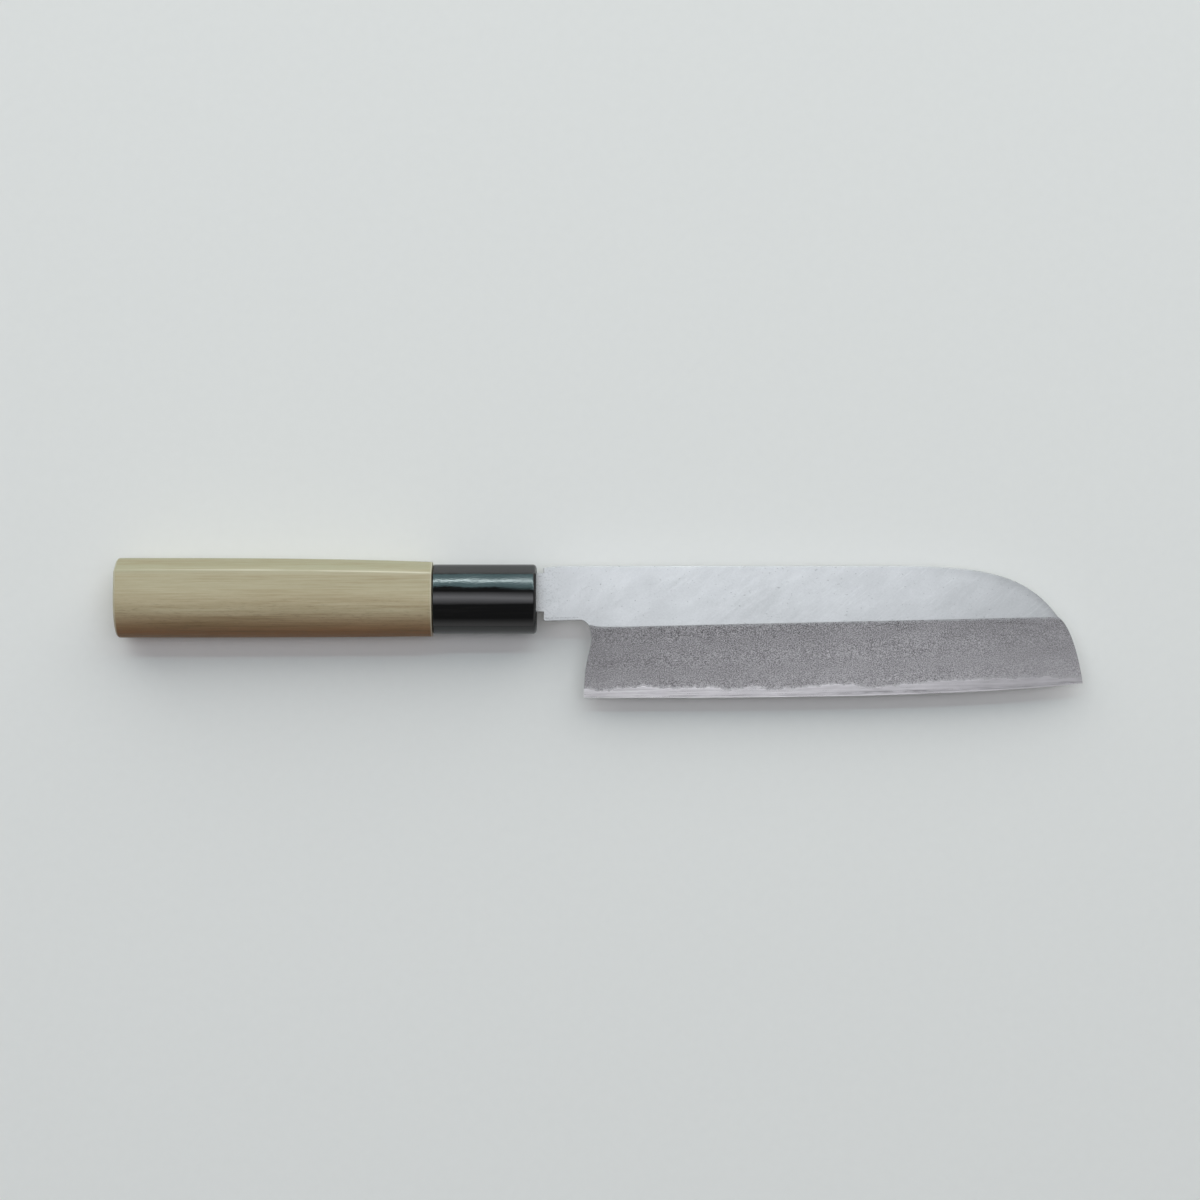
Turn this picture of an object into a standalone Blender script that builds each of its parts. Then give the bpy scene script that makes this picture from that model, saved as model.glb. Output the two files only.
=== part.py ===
"""Usuba: a single-bevel vegetable knife with a rounded nose, a ridged oval wood handle and a black collar.

The blade is two metals: a soft iron body, which is also the tang, and a thin hard steel layer welded to
its back. A wide bevel on the front runs down to the cutting edge and bares the steel there as a narrow
band. The steel's back is ground hollow. The wood handle is turned down to a tenon that carries the
collar, and a tapered socket in it holds the tang.

Every piece is modelled in the knife's own directions, in metres:
+X runs from the butt to the tip, and is zero at the collar's front end;
+Y runs from the cutting edge to the spine, and is zero on the handle's axis;
+Z comes out of the bevelled front of the blade, and is zero halfway through the handle.
An empty carries all pieces, and puts the middle of the knife's underside at the world's origin.
"""
import math

import bmesh
import bpy
import numpy as np

# Blade outline
BLADE_LENGTH = 0.16515          # heel corner to tip
BLADE_HEIGHT = 0.0437           # spine down to the heel corner
SPINE_RISE = 0.01095            # spine above the handle's axis
EDGE_SWEEP = 0.00485            # how far the edge climbs from heel to tip
EDGE_FLAT_RUN = 0.060           # pull of the level edge at the heel
EDGE_BELLY_RUN = 0.040          # pull of the climbing edge behind the tip
EDGE_BELLY_ANGLE = 6.4          # degrees, slope of the edge at the tip
NOSE_LENGTH = 0.0634            # tip back to where the spine starts to fall
NOSE_CROWN_RUN = 0.032          # pull of the level spine into the nose
NOSE_FALL_RUN = 0.0172          # pull of the falling nose above its corner
NOSE_FALL_ANGLE = 53.3          # degrees, slope of the nose above its corner
NOSE_CORNER_BACK = 0.00845      # tip back to the corner where the ridge line leaves the nose
NOSE_CHEEK_RUN = 0.0052         # pull of the nose just below that corner
NOSE_CHEEK_ANGLE = 31.0         # degrees, slope of the nose just below that corner
TIP_RUN = 0.0076                # pull of the nose above the tip
TIP_RAKE = 8.3                  # degrees, lean of the nose at the tip

# Neck and heel
MACHI_GAP = 0.0023              # bare tang between the collar and the neck
NECK_LENGTH = 0.0133            # end of the neck to the heel corner
NECK_STEP_BELOW = 0.00305       # neck below the tang, on the edge side
NECK_RISE = 0.0003              # rise of the neck's underside towards the heel
NECK_EASE = 0.0004              # cut corner at the neck's lower end
SHOULDER_LENGTH = 0.0048        # run over which the neck's top reaches the spine line
SHOULDER_DROP = 0.0006          # how far the neck's top starts below the spine line
HEEL_HOOK = 0.00248             # how far the throat lies ahead of the heel corner
HEEL_RUN = 0.0135               # pull of the upright heel above its corner
THROAT_DROP = 0.00595           # throat below the neck's underside
THROAT_RUN_BELOW = 0.0046       # pull of the heel's curve below the throat
THROAT_ROUND = 0.0028           # pull of the round between throat and neck
NECK_CORNER_BACK = 0.0013       # end of that round behind the heel corner

# Blade section
SPINE_THICKNESS = 0.0032        # at the neck
NOSE_THICKNESS = 0.0020         # of the flat, carried on to the tip
EDGE_THICKNESS = 0.00012        # land left at the cutting edge
BEVEL_WIDTH_HEEL = 0.02335      # edge up to the ridge line, at the heel
BEVEL_WIDTH_TIP = 0.02225       # edge up to the ridge line, at the tip
SPINE_EASE = 0.00035            # rounded corners of the spine
STEEL_BAND = 0.0033             # height of the bare steel above the edge
STEEL_AT_SPINE = 0.00095        # thickness of the steel layer at the spine
STEEL_START = 0.0055            # neck's end to the rear end of the steel layer
WELD_GAP = 0.00004              # left between iron and steel, which are one on the real blade
HOLLOW_DEPTH = 0.00030          # deepest point of the hollow back
HOLLOW_RIM = 0.0021             # flat rim left round the hollow
HOLLOW_HEEL_RIM = 0.0045        # flat left behind the heel end of the hollow
HOLLOW_NOSE_RIM = 0.0055        # flat left before the tip

# Tang and its socket
TANG_LENGTH = 0.096             # behind the collar's front end
TANG_HEIGHT = 0.0129            # at the neck
TANG_END_HEIGHT = 0.0062
TANG_END_RISE = 0.0004          # middle of the tang's end above the handle's axis
TANG_STEP_ABOVE = 0.00225       # spine line down to the tang's top
TANG_RELIEF = 0.00015           # tang thinner than the neck, each side
TANG_END_THICKNESS = 0.0021
SOCKET_CLEARANCE = 0.0003

# Collar
COLLAR_LENGTH = 0.0340
COLLAR_WALL_TOP = 0.00135       # wall towards the spine and the edge
COLLAR_WALL_SIDE = 0.0017       # wall towards the flats
COLLAR_FRONT_ROUND = 0.0012
COLLAR_REAR_ROUND = 0.0003
COLLAR_CLEARANCE = 0.0003       # between collar and wood, round the tenon and at its shoulder

# Handle
HANDLE_LENGTH = 0.1386          # butt to the collar's front end
TENON_WALL = 0.00085            # wood above and below the socket inside the collar
TENON_CHEEK = 0.00565           # wood beside the socket inside the collar
TENON_RECESS = 0.0004           # end of the tenon behind the collar's front end
SHOULDER_STEP_HIGH = 0.0008     # wood stands this proud of the collar, towards spine and edge
SHOULDER_STEP_SIDE = 0.0005     # wood stands this proud of the collar, on the flats
BUTT_FLARE_HIGH = 0.00085       # extra half height at the butt
BUTT_FLARE_SIDE = 0.0006        # extra half thickness at the butt
BUTT_RISE = 0.00045             # the butt's middle above the handle's axis
BUTT_ROUND = 0.0012
SHOULDER_ROUND = 0.0003
RIDGE_RISE = 0.0086             # ridge above the axis, at the collar
RIDGE_PROUD = 0.0015            # ridge beyond the oval, on the front
RIDGE_SOFTNESS = 0.0007         # length eased away on each side of the ridge

# Fineness of the faceting
OVAL_POINTS = 56
RIDGE_POINTS = 5
ROUND_STEPS = 4
HANDLE_STATIONS = 9
OUTLINE_STEPS = 18
BEVEL_STATIONS = 24
HOLLOW_COLUMNS = 36
HOLLOW_ROWS = 10
MARGIN = 0.005                  # how far a cutter runs past what it cuts

# Places that follow from the sizes
MACHI_X = MACHI_GAP
HEEL_X = MACHI_X + NECK_LENGTH
TIP_X = HEEL_X + BLADE_LENGTH
HEEL_Y = SPINE_RISE - BLADE_HEIGHT
TIP_Y = HEEL_Y + EDGE_SWEEP
CORNER_X = TIP_X - NOSE_CORNER_BACK
BACK_Z = -SPINE_THICKNESS / 2
TANG_TOP = SPINE_RISE - TANG_STEP_ABOVE
TANG_BOTTOM = TANG_TOP - TANG_HEIGHT
TANG_MIDDLE = (TANG_TOP + TANG_BOTTOM) / 2
NECK_BOTTOM = TANG_BOTTOM - NECK_STEP_BELOW
TENON_HALF_HEIGHT = max(TANG_TOP, -TANG_BOTTOM) + SOCKET_CLEARANCE + TENON_WALL
TENON_HALF_SIDE = SPINE_THICKNESS / 2 - TANG_RELIEF + SOCKET_CLEARANCE + TENON_CHEEK
BORE_HALF_HEIGHT = TENON_HALF_HEIGHT + COLLAR_CLEARANCE
BORE_HALF_SIDE = TENON_HALF_SIDE + COLLAR_CLEARANCE
COLLAR_HALF_HEIGHT = BORE_HALF_HEIGHT + COLLAR_WALL_TOP
COLLAR_HALF_SIDE = BORE_HALF_SIDE + COLLAR_WALL_SIDE
JOINT_HALF_HEIGHT = COLLAR_HALF_HEIGHT + SHOULDER_STEP_HIGH
JOINT_HALF_SIDE = COLLAR_HALF_SIDE + SHOULDER_STEP_SIDE
BUTT_HALF_HEIGHT = JOINT_HALF_HEIGHT + BUTT_FLARE_HIGH
BUTT_HALF_SIDE = JOINT_HALF_SIDE + BUTT_FLARE_SIDE
SHOULDER_X = -COLLAR_LENGTH - COLLAR_CLEARANCE
BUTT_X = -HANDLE_LENGTH


def clear_scene():
    """Remove every object and the data they leave behind."""
    for item in list(bpy.data.objects):
        bpy.data.objects.remove(item, do_unlink=True)
    for group in list(bpy.data.collections):
        bpy.data.collections.remove(group)


def new_collection(name):
    group = bpy.data.collections.new(name)
    bpy.context.scene.collection.children.link(group)
    return group


def principled(name, colour, roughness, metallic, coat=0.0):
    """A plain material with the part's colour, roughness and metallic value."""
    material = bpy.data.materials.new(name)
    material.use_nodes = True
    material.diffuse_color = (*colour, 1.0)
    shader = material.node_tree.nodes["Principled BSDF"]
    shader.inputs["Base Color"].default_value = (*colour, 1.0)
    shader.inputs["Roughness"].default_value = roughness
    shader.inputs["Metallic"].default_value = metallic
    shader.inputs["Coat Weight"].default_value = coat
    return material


def place(name, mesh, group, root, material=None):
    """Link a mesh as an object of the given collection, carried by the root empty."""
    item = bpy.data.objects.new(name, mesh)
    group.objects.link(item)
    item.parent = root
    if material is not None:
        mesh.materials.clear()
        mesh.materials.append(material)
    return item


def mark_as_cutter(item):
    item.hide_render = True
    item.display_type = "WIRE"
    return item


def cut(item, cutter):
    """Subtract the cutter from the item."""
    boolean = item.modifiers.new("cut_" + cutter.name, "BOOLEAN")
    boolean.operation = "DIFFERENCE"
    boolean.solver = "EXACT"
    boolean.object = cutter


def join(item, other):
    """Add the other solid to the item."""
    boolean = item.modifiers.new("join_" + other.name, "BOOLEAN")
    boolean.operation = "UNION"
    boolean.solver = "EXACT"
    boolean.object = other


def shade(mesh, angle):
    """Smooth shading, with edges sharper than the angle (in degrees) kept crisp."""
    mesh.shade_smooth()
    mesh.set_sharp_from_angle(angle=math.radians(angle))


def mesh_from(bm, name):
    """Write a bmesh into a new mesh with its faces pointing outwards."""
    bm.normal_update()
    bmesh.ops.recalc_face_normals(bm, faces=bm.faces)
    mesh = bpy.data.meshes.new(name)
    bm.to_mesh(mesh)
    bm.free()
    return mesh


def corner_block(name, x_range, low_at, high_at, y_range_at):
    """A cube whose corners are moved: y_range_at(x) gives the sides, low_at and high_at the bottom and top."""
    bm = bmesh.new()
    bmesh.ops.create_cube(bm, size=2.0)
    for vert in bm.verts:
        x = x_range[1] if vert.co.x > 0 else x_range[0]
        y = y_range_at(x)[1] if vert.co.y > 0 else y_range_at(x)[0]
        z = high_at(x, y) if vert.co.z > 0 else low_at(x, y)
        vert.co = (x, y, z)
    return mesh_from(bm, name)


def loft(name, stations):
    """Skin a closed body through rings of points that all lie at their own X."""
    bm = bmesh.new()
    rings = []
    for x, section in stations:
        rings.append([bm.verts.new((x, y, z)) for y, z in section])
    count = len(rings[0])
    for near, far in zip(rings, rings[1:]):
        for i in range(count):
            j = (i + 1) % count
            bm.faces.new((near[i], near[j], far[j], far[i]))
    bm.faces.new(rings[0])
    bm.faces.new(rings[-1])
    return mesh_from(bm, name)


def along(start, run, degrees):
    """The point reached from start by going run in a direction given in degrees from +X."""
    angle = math.radians(degrees)
    return (start[0] + run * math.cos(angle), start[1] + run * math.sin(angle))


def bezier(start, pull_start, pull_end, end, steps):
    """Points of a cubic Bezier curve, as an array with one row a point."""
    t = np.linspace(0.0, 1.0, steps + 1)[:, None]
    a, b, c, d = (np.array(p) for p in (start, pull_start, pull_end, end))
    return a * (1 - t) ** 3 + 3 * b * t * (1 - t) ** 2 + 3 * c * t ** 2 * (1 - t) + d * t ** 3


def ridge_line_y(x):
    """Height of the straight ridge line between flat and bevel."""
    share = (x - HEEL_X) / BLADE_LENGTH
    at_heel = HEEL_Y + BEVEL_WIDTH_HEEL
    at_tip = TIP_Y + BEVEL_WIDTH_TIP
    return at_heel + (at_tip - at_heel) * share


def nose_corner():
    """The corner of the outline where the ridge line leaves the nose."""
    return (CORNER_X, ridge_line_y(CORNER_X))


def nose_curve_points():
    """End points and pulls of the nose, from the spine to the nose corner."""
    start = (TIP_X - NOSE_LENGTH, SPINE_RISE)
    end = nose_corner()
    return start, along(start, NOSE_CROWN_RUN, 0), along(end, NOSE_FALL_RUN, 180 - NOSE_FALL_ANGLE), end


def cheek_curve_points():
    """End points and pulls of the nose, from its corner down to the tip."""
    start = nose_corner()
    end = (TIP_X, TIP_Y)
    return start, along(start, NOSE_CHEEK_RUN, -NOSE_CHEEK_ANGLE), along(end, TIP_RUN, 90 + TIP_RAKE), end


def edge_curve_points():
    """End points and pulls of the cutting edge, from the heel corner to the tip."""
    start = (HEEL_X, HEEL_Y)
    end = (TIP_X, TIP_Y)
    return start, along(start, EDGE_FLAT_RUN, 0), along(end, EDGE_BELLY_RUN, 180 + EDGE_BELLY_ANGLE), end


def edge_y(x):
    """Height of the cutting edge."""
    curve = bezier(*edge_curve_points(), 200)
    return np.interp(x, curve[:, 0], curve[:, 1])


def top_y(x):
    """Height of the spine and the nose."""
    curve = np.vstack([bezier(*nose_curve_points(), 100), bezier(*cheek_curve_points(), 60)])
    return np.interp(x, curve[:, 0], curve[:, 1])


def thickness_at(x):
    """Thickness of the blade above the ridge line, which thins steadily towards the tip."""
    share = (x - MACHI_X) / (TIP_X - MACHI_X)
    return SPINE_THICKNESS + (NOSE_THICKNESS - SPINE_THICKNESS) * share


def front_z(x):
    return BACK_Z + thickness_at(x)


def weld_z(x, y):
    """Height of the plane in which iron and steel meet.

    It lies on the bevel one steel band above the edge, at heel and tip, and reaches the steel's
    thickness at the spine.
    """
    rise = []
    for end_x, width, edge in ((HEEL_X, BEVEL_WIDTH_HEEL, HEEL_Y), (TIP_X, BEVEL_WIDTH_TIP, TIP_Y)):
        slope = (thickness_at(end_x) - EDGE_THICKNESS) / width
        rise.append((end_x, edge + STEEL_BAND, EDGE_THICKNESS + slope * STEEL_BAND))
    (x0, y0, h0), (x1, y1, h1) = rise
    across = (STEEL_AT_SPINE - h0) / (SPINE_RISE - y0)
    lengthwise = (h1 - h0 - across * (y1 - y0)) / (x1 - x0)
    return BACK_Z + h0 + across * (y - y0) + lengthwise * (x - x0)


def outline_curve(group, root):
    """The blade's outline as a flat filled curve, from the neck round the nose and back along the edge."""
    heel = (HEEL_X, HEEL_Y)
    throat = (HEEL_X + HEEL_HOOK, NECK_BOTTOM + NECK_RISE - THROAT_DROP)
    neck_corner = (HEEL_X - NECK_CORNER_BACK, NECK_BOTTOM + NECK_RISE)
    nose_start, crown_pull, fall_pull, corner = nose_curve_points()
    _, cheek_pull, tip_pull, tip = cheek_curve_points()
    _, flat_pull, belly_pull, _ = edge_curve_points()
    points = [
        ((MACHI_X, SPINE_RISE - SHOULDER_DROP), None, None),
        ((MACHI_X + SHOULDER_LENGTH, SPINE_RISE), None, None),
        (nose_start, None, crown_pull),
        (corner, fall_pull, cheek_pull),
        (tip, tip_pull, belly_pull),
        (heel, flat_pull, along(heel, HEEL_RUN, 90)),
        (throat, along(throat, THROAT_RUN_BELOW, -90), along(throat, THROAT_ROUND, 90)),
        (neck_corner, along(neck_corner, THROAT_ROUND, 0), None),
        ((MACHI_X + NECK_EASE, NECK_BOTTOM), None, None),
        ((MACHI_X, NECK_BOTTOM + NECK_EASE), None, None),
    ]
    data = bpy.data.curves.new("blade_outline", "CURVE")
    data.dimensions = "2D"
    data.fill_mode = "BOTH"
    data.extrude = SPINE_THICKNESS / 2
    data.resolution_u = OUTLINE_STEPS
    spline = data.splines.new("BEZIER")
    spline.bezier_points.add(len(points) - 1)
    spline.use_cyclic_u = True
    for target, (at, before, after) in zip(spline.bezier_points, points):
        target.co = (*at, 0.0)
        target.handle_left_type = "VECTOR" if before is None else "FREE"
        target.handle_right_type = "VECTOR" if after is None else "FREE"
        if before is not None:
            target.handle_left = (*before, 0.0)
        if after is not None:
            target.handle_right = (*after, 0.0)
    curve = bpy.data.objects.new("blade_outline", data)
    group.objects.link(curve)
    curve.parent = root
    return curve


def plate_mesh(group, root):
    """The blank both metals are cut from: the outline, thinned towards the tip, with an eased spine."""
    curve = outline_curve(group, root)
    bpy.context.view_layer.update()
    evaluated = curve.evaluated_get(bpy.context.evaluated_depsgraph_get())
    mesh = bpy.data.meshes.new_from_object(evaluated)
    bpy.data.objects.remove(curve, do_unlink=True)
    bm = bmesh.new()
    bm.from_mesh(mesh)
    bmesh.ops.remove_doubles(bm, verts=bm.verts, dist=0.00001)
    for vert in bm.verts:
        if vert.co.z > 0:
            vert.co.z = front_z(vert.co.x)
    bmesh.ops.dissolve_limit(bm, angle_limit=math.radians(0.2), verts=bm.verts, edges=bm.edges)
    bmesh.ops.recalc_face_normals(bm, faces=bm.faces)
    weight = bm.edges.layers.float.new("bevel_weight_edge")
    corner_y = nose_corner()[1]
    for edge in bm.edges:
        low = min(vert.co.y for vert in edge.verts)
        rear = min(vert.co.x for vert in edge.verts)
        upright = abs(edge.verts[0].co.z - edge.verts[1].co.z) > SPINE_THICKNESS / 4
        if low > corner_y - SPINE_EASE and rear > MACHI_X + SHOULDER_LENGTH / 2 and not upright:
            edge[weight] = 1.0
    bm.to_mesh(mesh)
    bm.free()
    return mesh


def ease_spine(item):
    bevel = item.modifiers.new("spine_ease", "BEVEL")
    bevel.limit_method = "WEIGHT"
    bevel.width = SPINE_EASE
    bevel.segments = 2
    bevel.use_clamp_overlap = False


def bevel_cutter_mesh():
    """All that lies in front of the bevel.

    Straight rulings join the cutting edge to the ridge line and run on past both, so the bevel
    follows the edge's curve and meets the flat in a straight line.
    """
    stations = []
    for x in np.linspace(HEEL_X - MARGIN, TIP_X + MARGIN, BEVEL_STATIONS):
        low = edge_y(x)
        width = ridge_line_y(x) - low
        slope = (thickness_at(x) - EDGE_THICKNESS) / width
        below = low - MARGIN
        above = low + width + MARGIN
        base = BACK_Z + EDGE_THICKNESS
        roof = front_z(MACHI_X) + MARGIN
        stations.append((x, [(below, base - slope * MARGIN), (above, base + slope * (width + MARGIN)),
                             (above, roof), (below, roof)]))
    return loft("front_of_bevel", stations)


def hollow_cutter_mesh():
    """The ground hollow of the back, as a grid that rises into the steel and closes behind it.

    The depth falls with the square of the place across the blade, as a grinding wheel leaves it,
    and with the sixth power of the place along the blade, so that it runs out at both ends.
    """
    bm = bmesh.new()
    bmesh.ops.create_grid(bm, x_segments=HOLLOW_COLUMNS, y_segments=HOLLOW_ROWS, size=1.0)
    start = HEEL_X + HOLLOW_HEEL_RIM
    end = TIP_X - HOLLOW_NOSE_RIM
    outside = HOLLOW_DEPTH / 15
    for vert in bm.verts:
        u, v = vert.co.x, vert.co.y
        x = (start + end) / 2 + u * (end - start) / 2
        low = edge_y(x) + HOLLOW_RIM
        high = top_y(x) - HOLLOW_RIM
        depth = (HOLLOW_DEPTH + outside) * (1 - v ** 2) * (1 - u ** 6) - outside
        vert.co = (x, (low + high) / 2 + v * (high - low) / 2, BACK_Z + depth)
    skirt = bmesh.ops.extrude_face_region(bm, geom=bm.faces[:] + bm.edges[:] + bm.verts[:])
    for item in skirt["geom"]:
        if isinstance(item, bmesh.types.BMVert):
            item.co.z = BACK_Z - HOLLOW_DEPTH
    return mesh_from(bm, "back_hollow")


def tang_mesh(name, grow, front_x):
    """The tapered tang, or its socket where grow is the clearance round it."""
    rear_x = -TANG_LENGTH
    root_half = SPINE_THICKNESS / 2 - TANG_RELIEF

    def share(x):
        return (MACHI_X - x) / (MACHI_X - rear_x)

    def sides(x):
        middle = TANG_MIDDLE + (TANG_END_RISE - TANG_MIDDLE) * share(x)
        half = (TANG_HEIGHT + (TANG_END_HEIGHT - TANG_HEIGHT) * share(x)) / 2 + grow
        return middle - half, middle + half

    def top(x, y):
        return root_half + (TANG_END_THICKNESS / 2 - root_half) * share(x) + grow

    def bottom(x, y):
        return -top(x, y)

    return corner_block(name, (rear_x - grow, front_x), bottom, top, sides)


def oval(half_y, half_z, angles, rise=0.0):
    """Points of an oval at the given angles, from the spine side round over the front."""
    return [(rise + half_y * math.cos(a), half_z * math.sin(a)) for a in angles]


def ridged_section(half_y, half_z, ridge_y, rise=0.0):
    """An oval with one ridge on its front: the oval is left where lines to the ridge touch it.

    Returns the points and the oval angle that each one belongs to. The ridge's point is eased
    by a short parabola between the two lines.
    """
    ridge_z = half_z * math.sqrt(1 - (ridge_y / half_y) ** 2) + RIDGE_PROUD
    reach = math.hypot(ridge_y / half_y, ridge_z / half_z)
    aim = math.atan2(ridge_z / half_z, ridge_y / half_y)
    spread = math.acos(1 / reach)
    arc = np.linspace(aim + spread, aim - spread + 2 * math.pi, OVAL_POINTS)
    points = oval(half_y, half_z, arc, rise)
    angles = list(arc)
    peak = np.array((rise + ridge_y, ridge_z))
    leaving = np.array(points[-1])
    arriving = np.array(points[0])
    first = peak + (leaving - peak) / np.linalg.norm(leaving - peak) * RIDGE_SOFTNESS
    last = peak + (arriving - peak) / np.linalg.norm(arriving - peak) * RIDGE_SOFTNESS
    for t in np.linspace(0, 1, RIDGE_POINTS):
        y, z = first * (1 - t) ** 2 + 2 * peak * t * (1 - t) + last * t ** 2
        points.append((y, z))
        angles.append(math.atan2(z / half_z, (y - rise) / half_y))
    return points, angles


def rounded_end(x, inward, radius, section_of):
    """Stations of a rounded rim: the section shrinks by up to the radius as it nears the end at x."""
    stations = []
    for step in range(ROUND_STEPS + 1):
        angle = math.pi / 2 * step / ROUND_STEPS
        inset = radius * (1 - math.sin(angle))
        stations.append((x + inward * radius * (1 - math.cos(angle)), section_of(inset)))
    return stations


def handle_section(x, inset=0.0):
    """The wood's section at x. It grows from the collar to the butt, quickly at first."""
    share = (x - BUTT_X) / (SHOULDER_X - BUTT_X)
    flare = 1 - share ** 3
    half_y = JOINT_HALF_HEIGHT + BUTT_FLARE_HIGH * flare
    half_z = JOINT_HALF_SIDE + BUTT_FLARE_SIDE * flare
    ridge_y = RIDGE_RISE * half_y / JOINT_HALF_HEIGHT
    return ridged_section(half_y - inset, half_z - inset, ridge_y - inset / 2, BUTT_RISE * flare)


def make_handle(parts, cutters, root, wood):
    """Ridged oval wood body with a tenon for the collar and a socket for the tang."""
    stations = rounded_end(BUTT_X, 1, BUTT_ROUND, lambda inset: handle_section(BUTT_X, inset)[0])
    for x in np.linspace(BUTT_X, SHOULDER_X, HANDLE_STATIONS)[1:-1]:
        stations.append((x, handle_section(x)[0]))
    front = rounded_end(SHOULDER_X, -1, SHOULDER_ROUND, lambda inset: handle_section(SHOULDER_X, inset)[0])
    stations.extend(reversed(front))
    angles = handle_section(SHOULDER_X)[1]
    tenon = oval(TENON_HALF_HEIGHT, TENON_HALF_SIDE, angles)
    stations.append((SHOULDER_X, tenon))
    stations.append((-TENON_RECESS, tenon))
    mesh = loft("handle", stations)
    shade(mesh, 40)
    handle = place("handle", mesh, parts, root, wood)
    socket = mark_as_cutter(place("tang_socket", tang_mesh("tang_socket", SOCKET_CLEARANCE, MARGIN),
                                  cutters, root))
    cut(handle, socket)
    return handle


def make_collar(parts, cutters, root, horn):
    """Black collar that carries the handle's ridge on to the blade, bored for the tenon."""
    def section(inset):
        return ridged_section(COLLAR_HALF_HEIGHT - inset, COLLAR_HALF_SIDE - inset, RIDGE_RISE - inset / 2)[0]

    stations = rounded_end(-COLLAR_LENGTH, 1, COLLAR_REAR_ROUND, section)
    stations.extend(reversed(rounded_end(0.0, -1, COLLAR_FRONT_ROUND, section)))
    mesh = loft("ferrule", stations)
    shade(mesh, 40)
    collar = place("ferrule", mesh, parts, root, horn)
    bm = bmesh.new()
    bmesh.ops.create_cone(bm, cap_ends=True, segments=OVAL_POINTS, radius1=1.0, radius2=1.0,
                          depth=COLLAR_LENGTH + 2 * MARGIN)
    for vert in bm.verts:
        across, high, length = vert.co
        vert.co = (length - COLLAR_LENGTH / 2, high * BORE_HALF_HEIGHT, across * BORE_HALF_SIDE)
    bore = mark_as_cutter(place("ferrule_bore", mesh_from(bm, "ferrule_bore"), cutters, root))
    cut(collar, bore)
    return collar


def make_blade(parts, cutters, root, iron, steel):
    """Iron body with its tang, and the steel layer on its back, cut from the same blank."""
    blank = plate_mesh(cutters, root)
    front_of_bevel = mark_as_cutter(place("front_of_bevel", bevel_cutter_mesh(), cutters, root))

    def wide(x):
        return HEEL_Y - MARGIN, SPINE_RISE + MARGIN

    def far_back(x, y):
        return BACK_Z - MARGIN

    def far_front(x, y):
        return front_z(MACHI_X) + MARGIN

    steel_rear = MACHI_X + STEEL_START
    steel_room = mark_as_cutter(place("steel_room", corner_block(
        "steel_room", (steel_rear - WELD_GAP, TIP_X + MARGIN), far_back,
        lambda x, y: weld_z(x, y) + WELD_GAP / 2, wide), cutters, root))
    iron_room = mark_as_cutter(place("iron_room", corner_block(
        "iron_room", (MACHI_X - MARGIN, TIP_X + MARGIN),
        lambda x, y: weld_z(x, y) - WELD_GAP / 2, far_front, wide), cutters, root))
    neck_room = mark_as_cutter(place("neck_room", corner_block(
        "neck_room", (MACHI_X - MARGIN, steel_rear), far_back, far_front, wide), cutters, root))
    hollow = mark_as_cutter(place("back_hollow", hollow_cutter_mesh(), cutters, root))
    tang = mark_as_cutter(place("tang", tang_mesh("tang", 0.0, MACHI_X + STEEL_START - MACHI_GAP),
                                cutters, root))

    jigane = place("blade_jigane", blank, parts, root, iron)
    ease_spine(jigane)
    cut(jigane, steel_room)
    cut(jigane, front_of_bevel)
    join(jigane, tang)

    hagane = place("blade_hagane", blank.copy(), parts, root, steel)
    ease_spine(hagane)
    cut(hagane, iron_room)
    cut(hagane, neck_room)
    cut(hagane, front_of_bevel)
    cut(hagane, hollow)
    return jigane, hagane


def main():
    clear_scene()
    parts = new_collection("usuba_knife")
    cutters = new_collection("cutters")
    root = bpy.data.objects.new("knife_root", None)
    root.empty_display_size = 0.02
    parts.objects.link(root)
    middle_x = (BUTT_X + TIP_X) / 2
    middle_y = (BUTT_RISE + BUTT_HALF_HEIGHT + HEEL_Y) / 2
    root.location = (-middle_x, -middle_y, BUTT_HALF_SIDE)

    wood = principled("ho_wood", (0.62, 0.55, 0.40), 0.55, 0.0)
    horn = principled("black_horn", (0.012, 0.012, 0.014), 0.12, 0.0, coat=0.4)
    iron = principled("soft_iron", (0.62, 0.63, 0.65), 0.42, 1.0)
    steel = principled("hard_steel", (0.72, 0.71, 0.72), 0.28, 1.0)

    make_handle(parts, cutters, root, wood)
    make_collar(parts, cutters, root, horn)
    make_blade(parts, cutters, root, iron, steel)
    bpy.context.view_layer.update()


main()
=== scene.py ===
"""Usuba knife: the finished look of a rounded-nose, single-bevel vegetable knife.

Four pieces stand for the four solids of the model and lie where these lie: the ho wood handle, the horn
collar, the blade's soft iron body with its tang, and the hard steel layer on its back. Each is a surface
worked out as whole arrays of points, in metres.

All shapes are worked out in the knife's own directions, and then moved to where the frame has them:
+X runs from the butt to the tip, and is zero at the collar's front end;
+Y runs from the cutting edge to the spine, and is zero on the handle's axis;
+Z comes out of the bevelled front of the blade, and is zero halfway through the handle.
"""

import math

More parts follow.
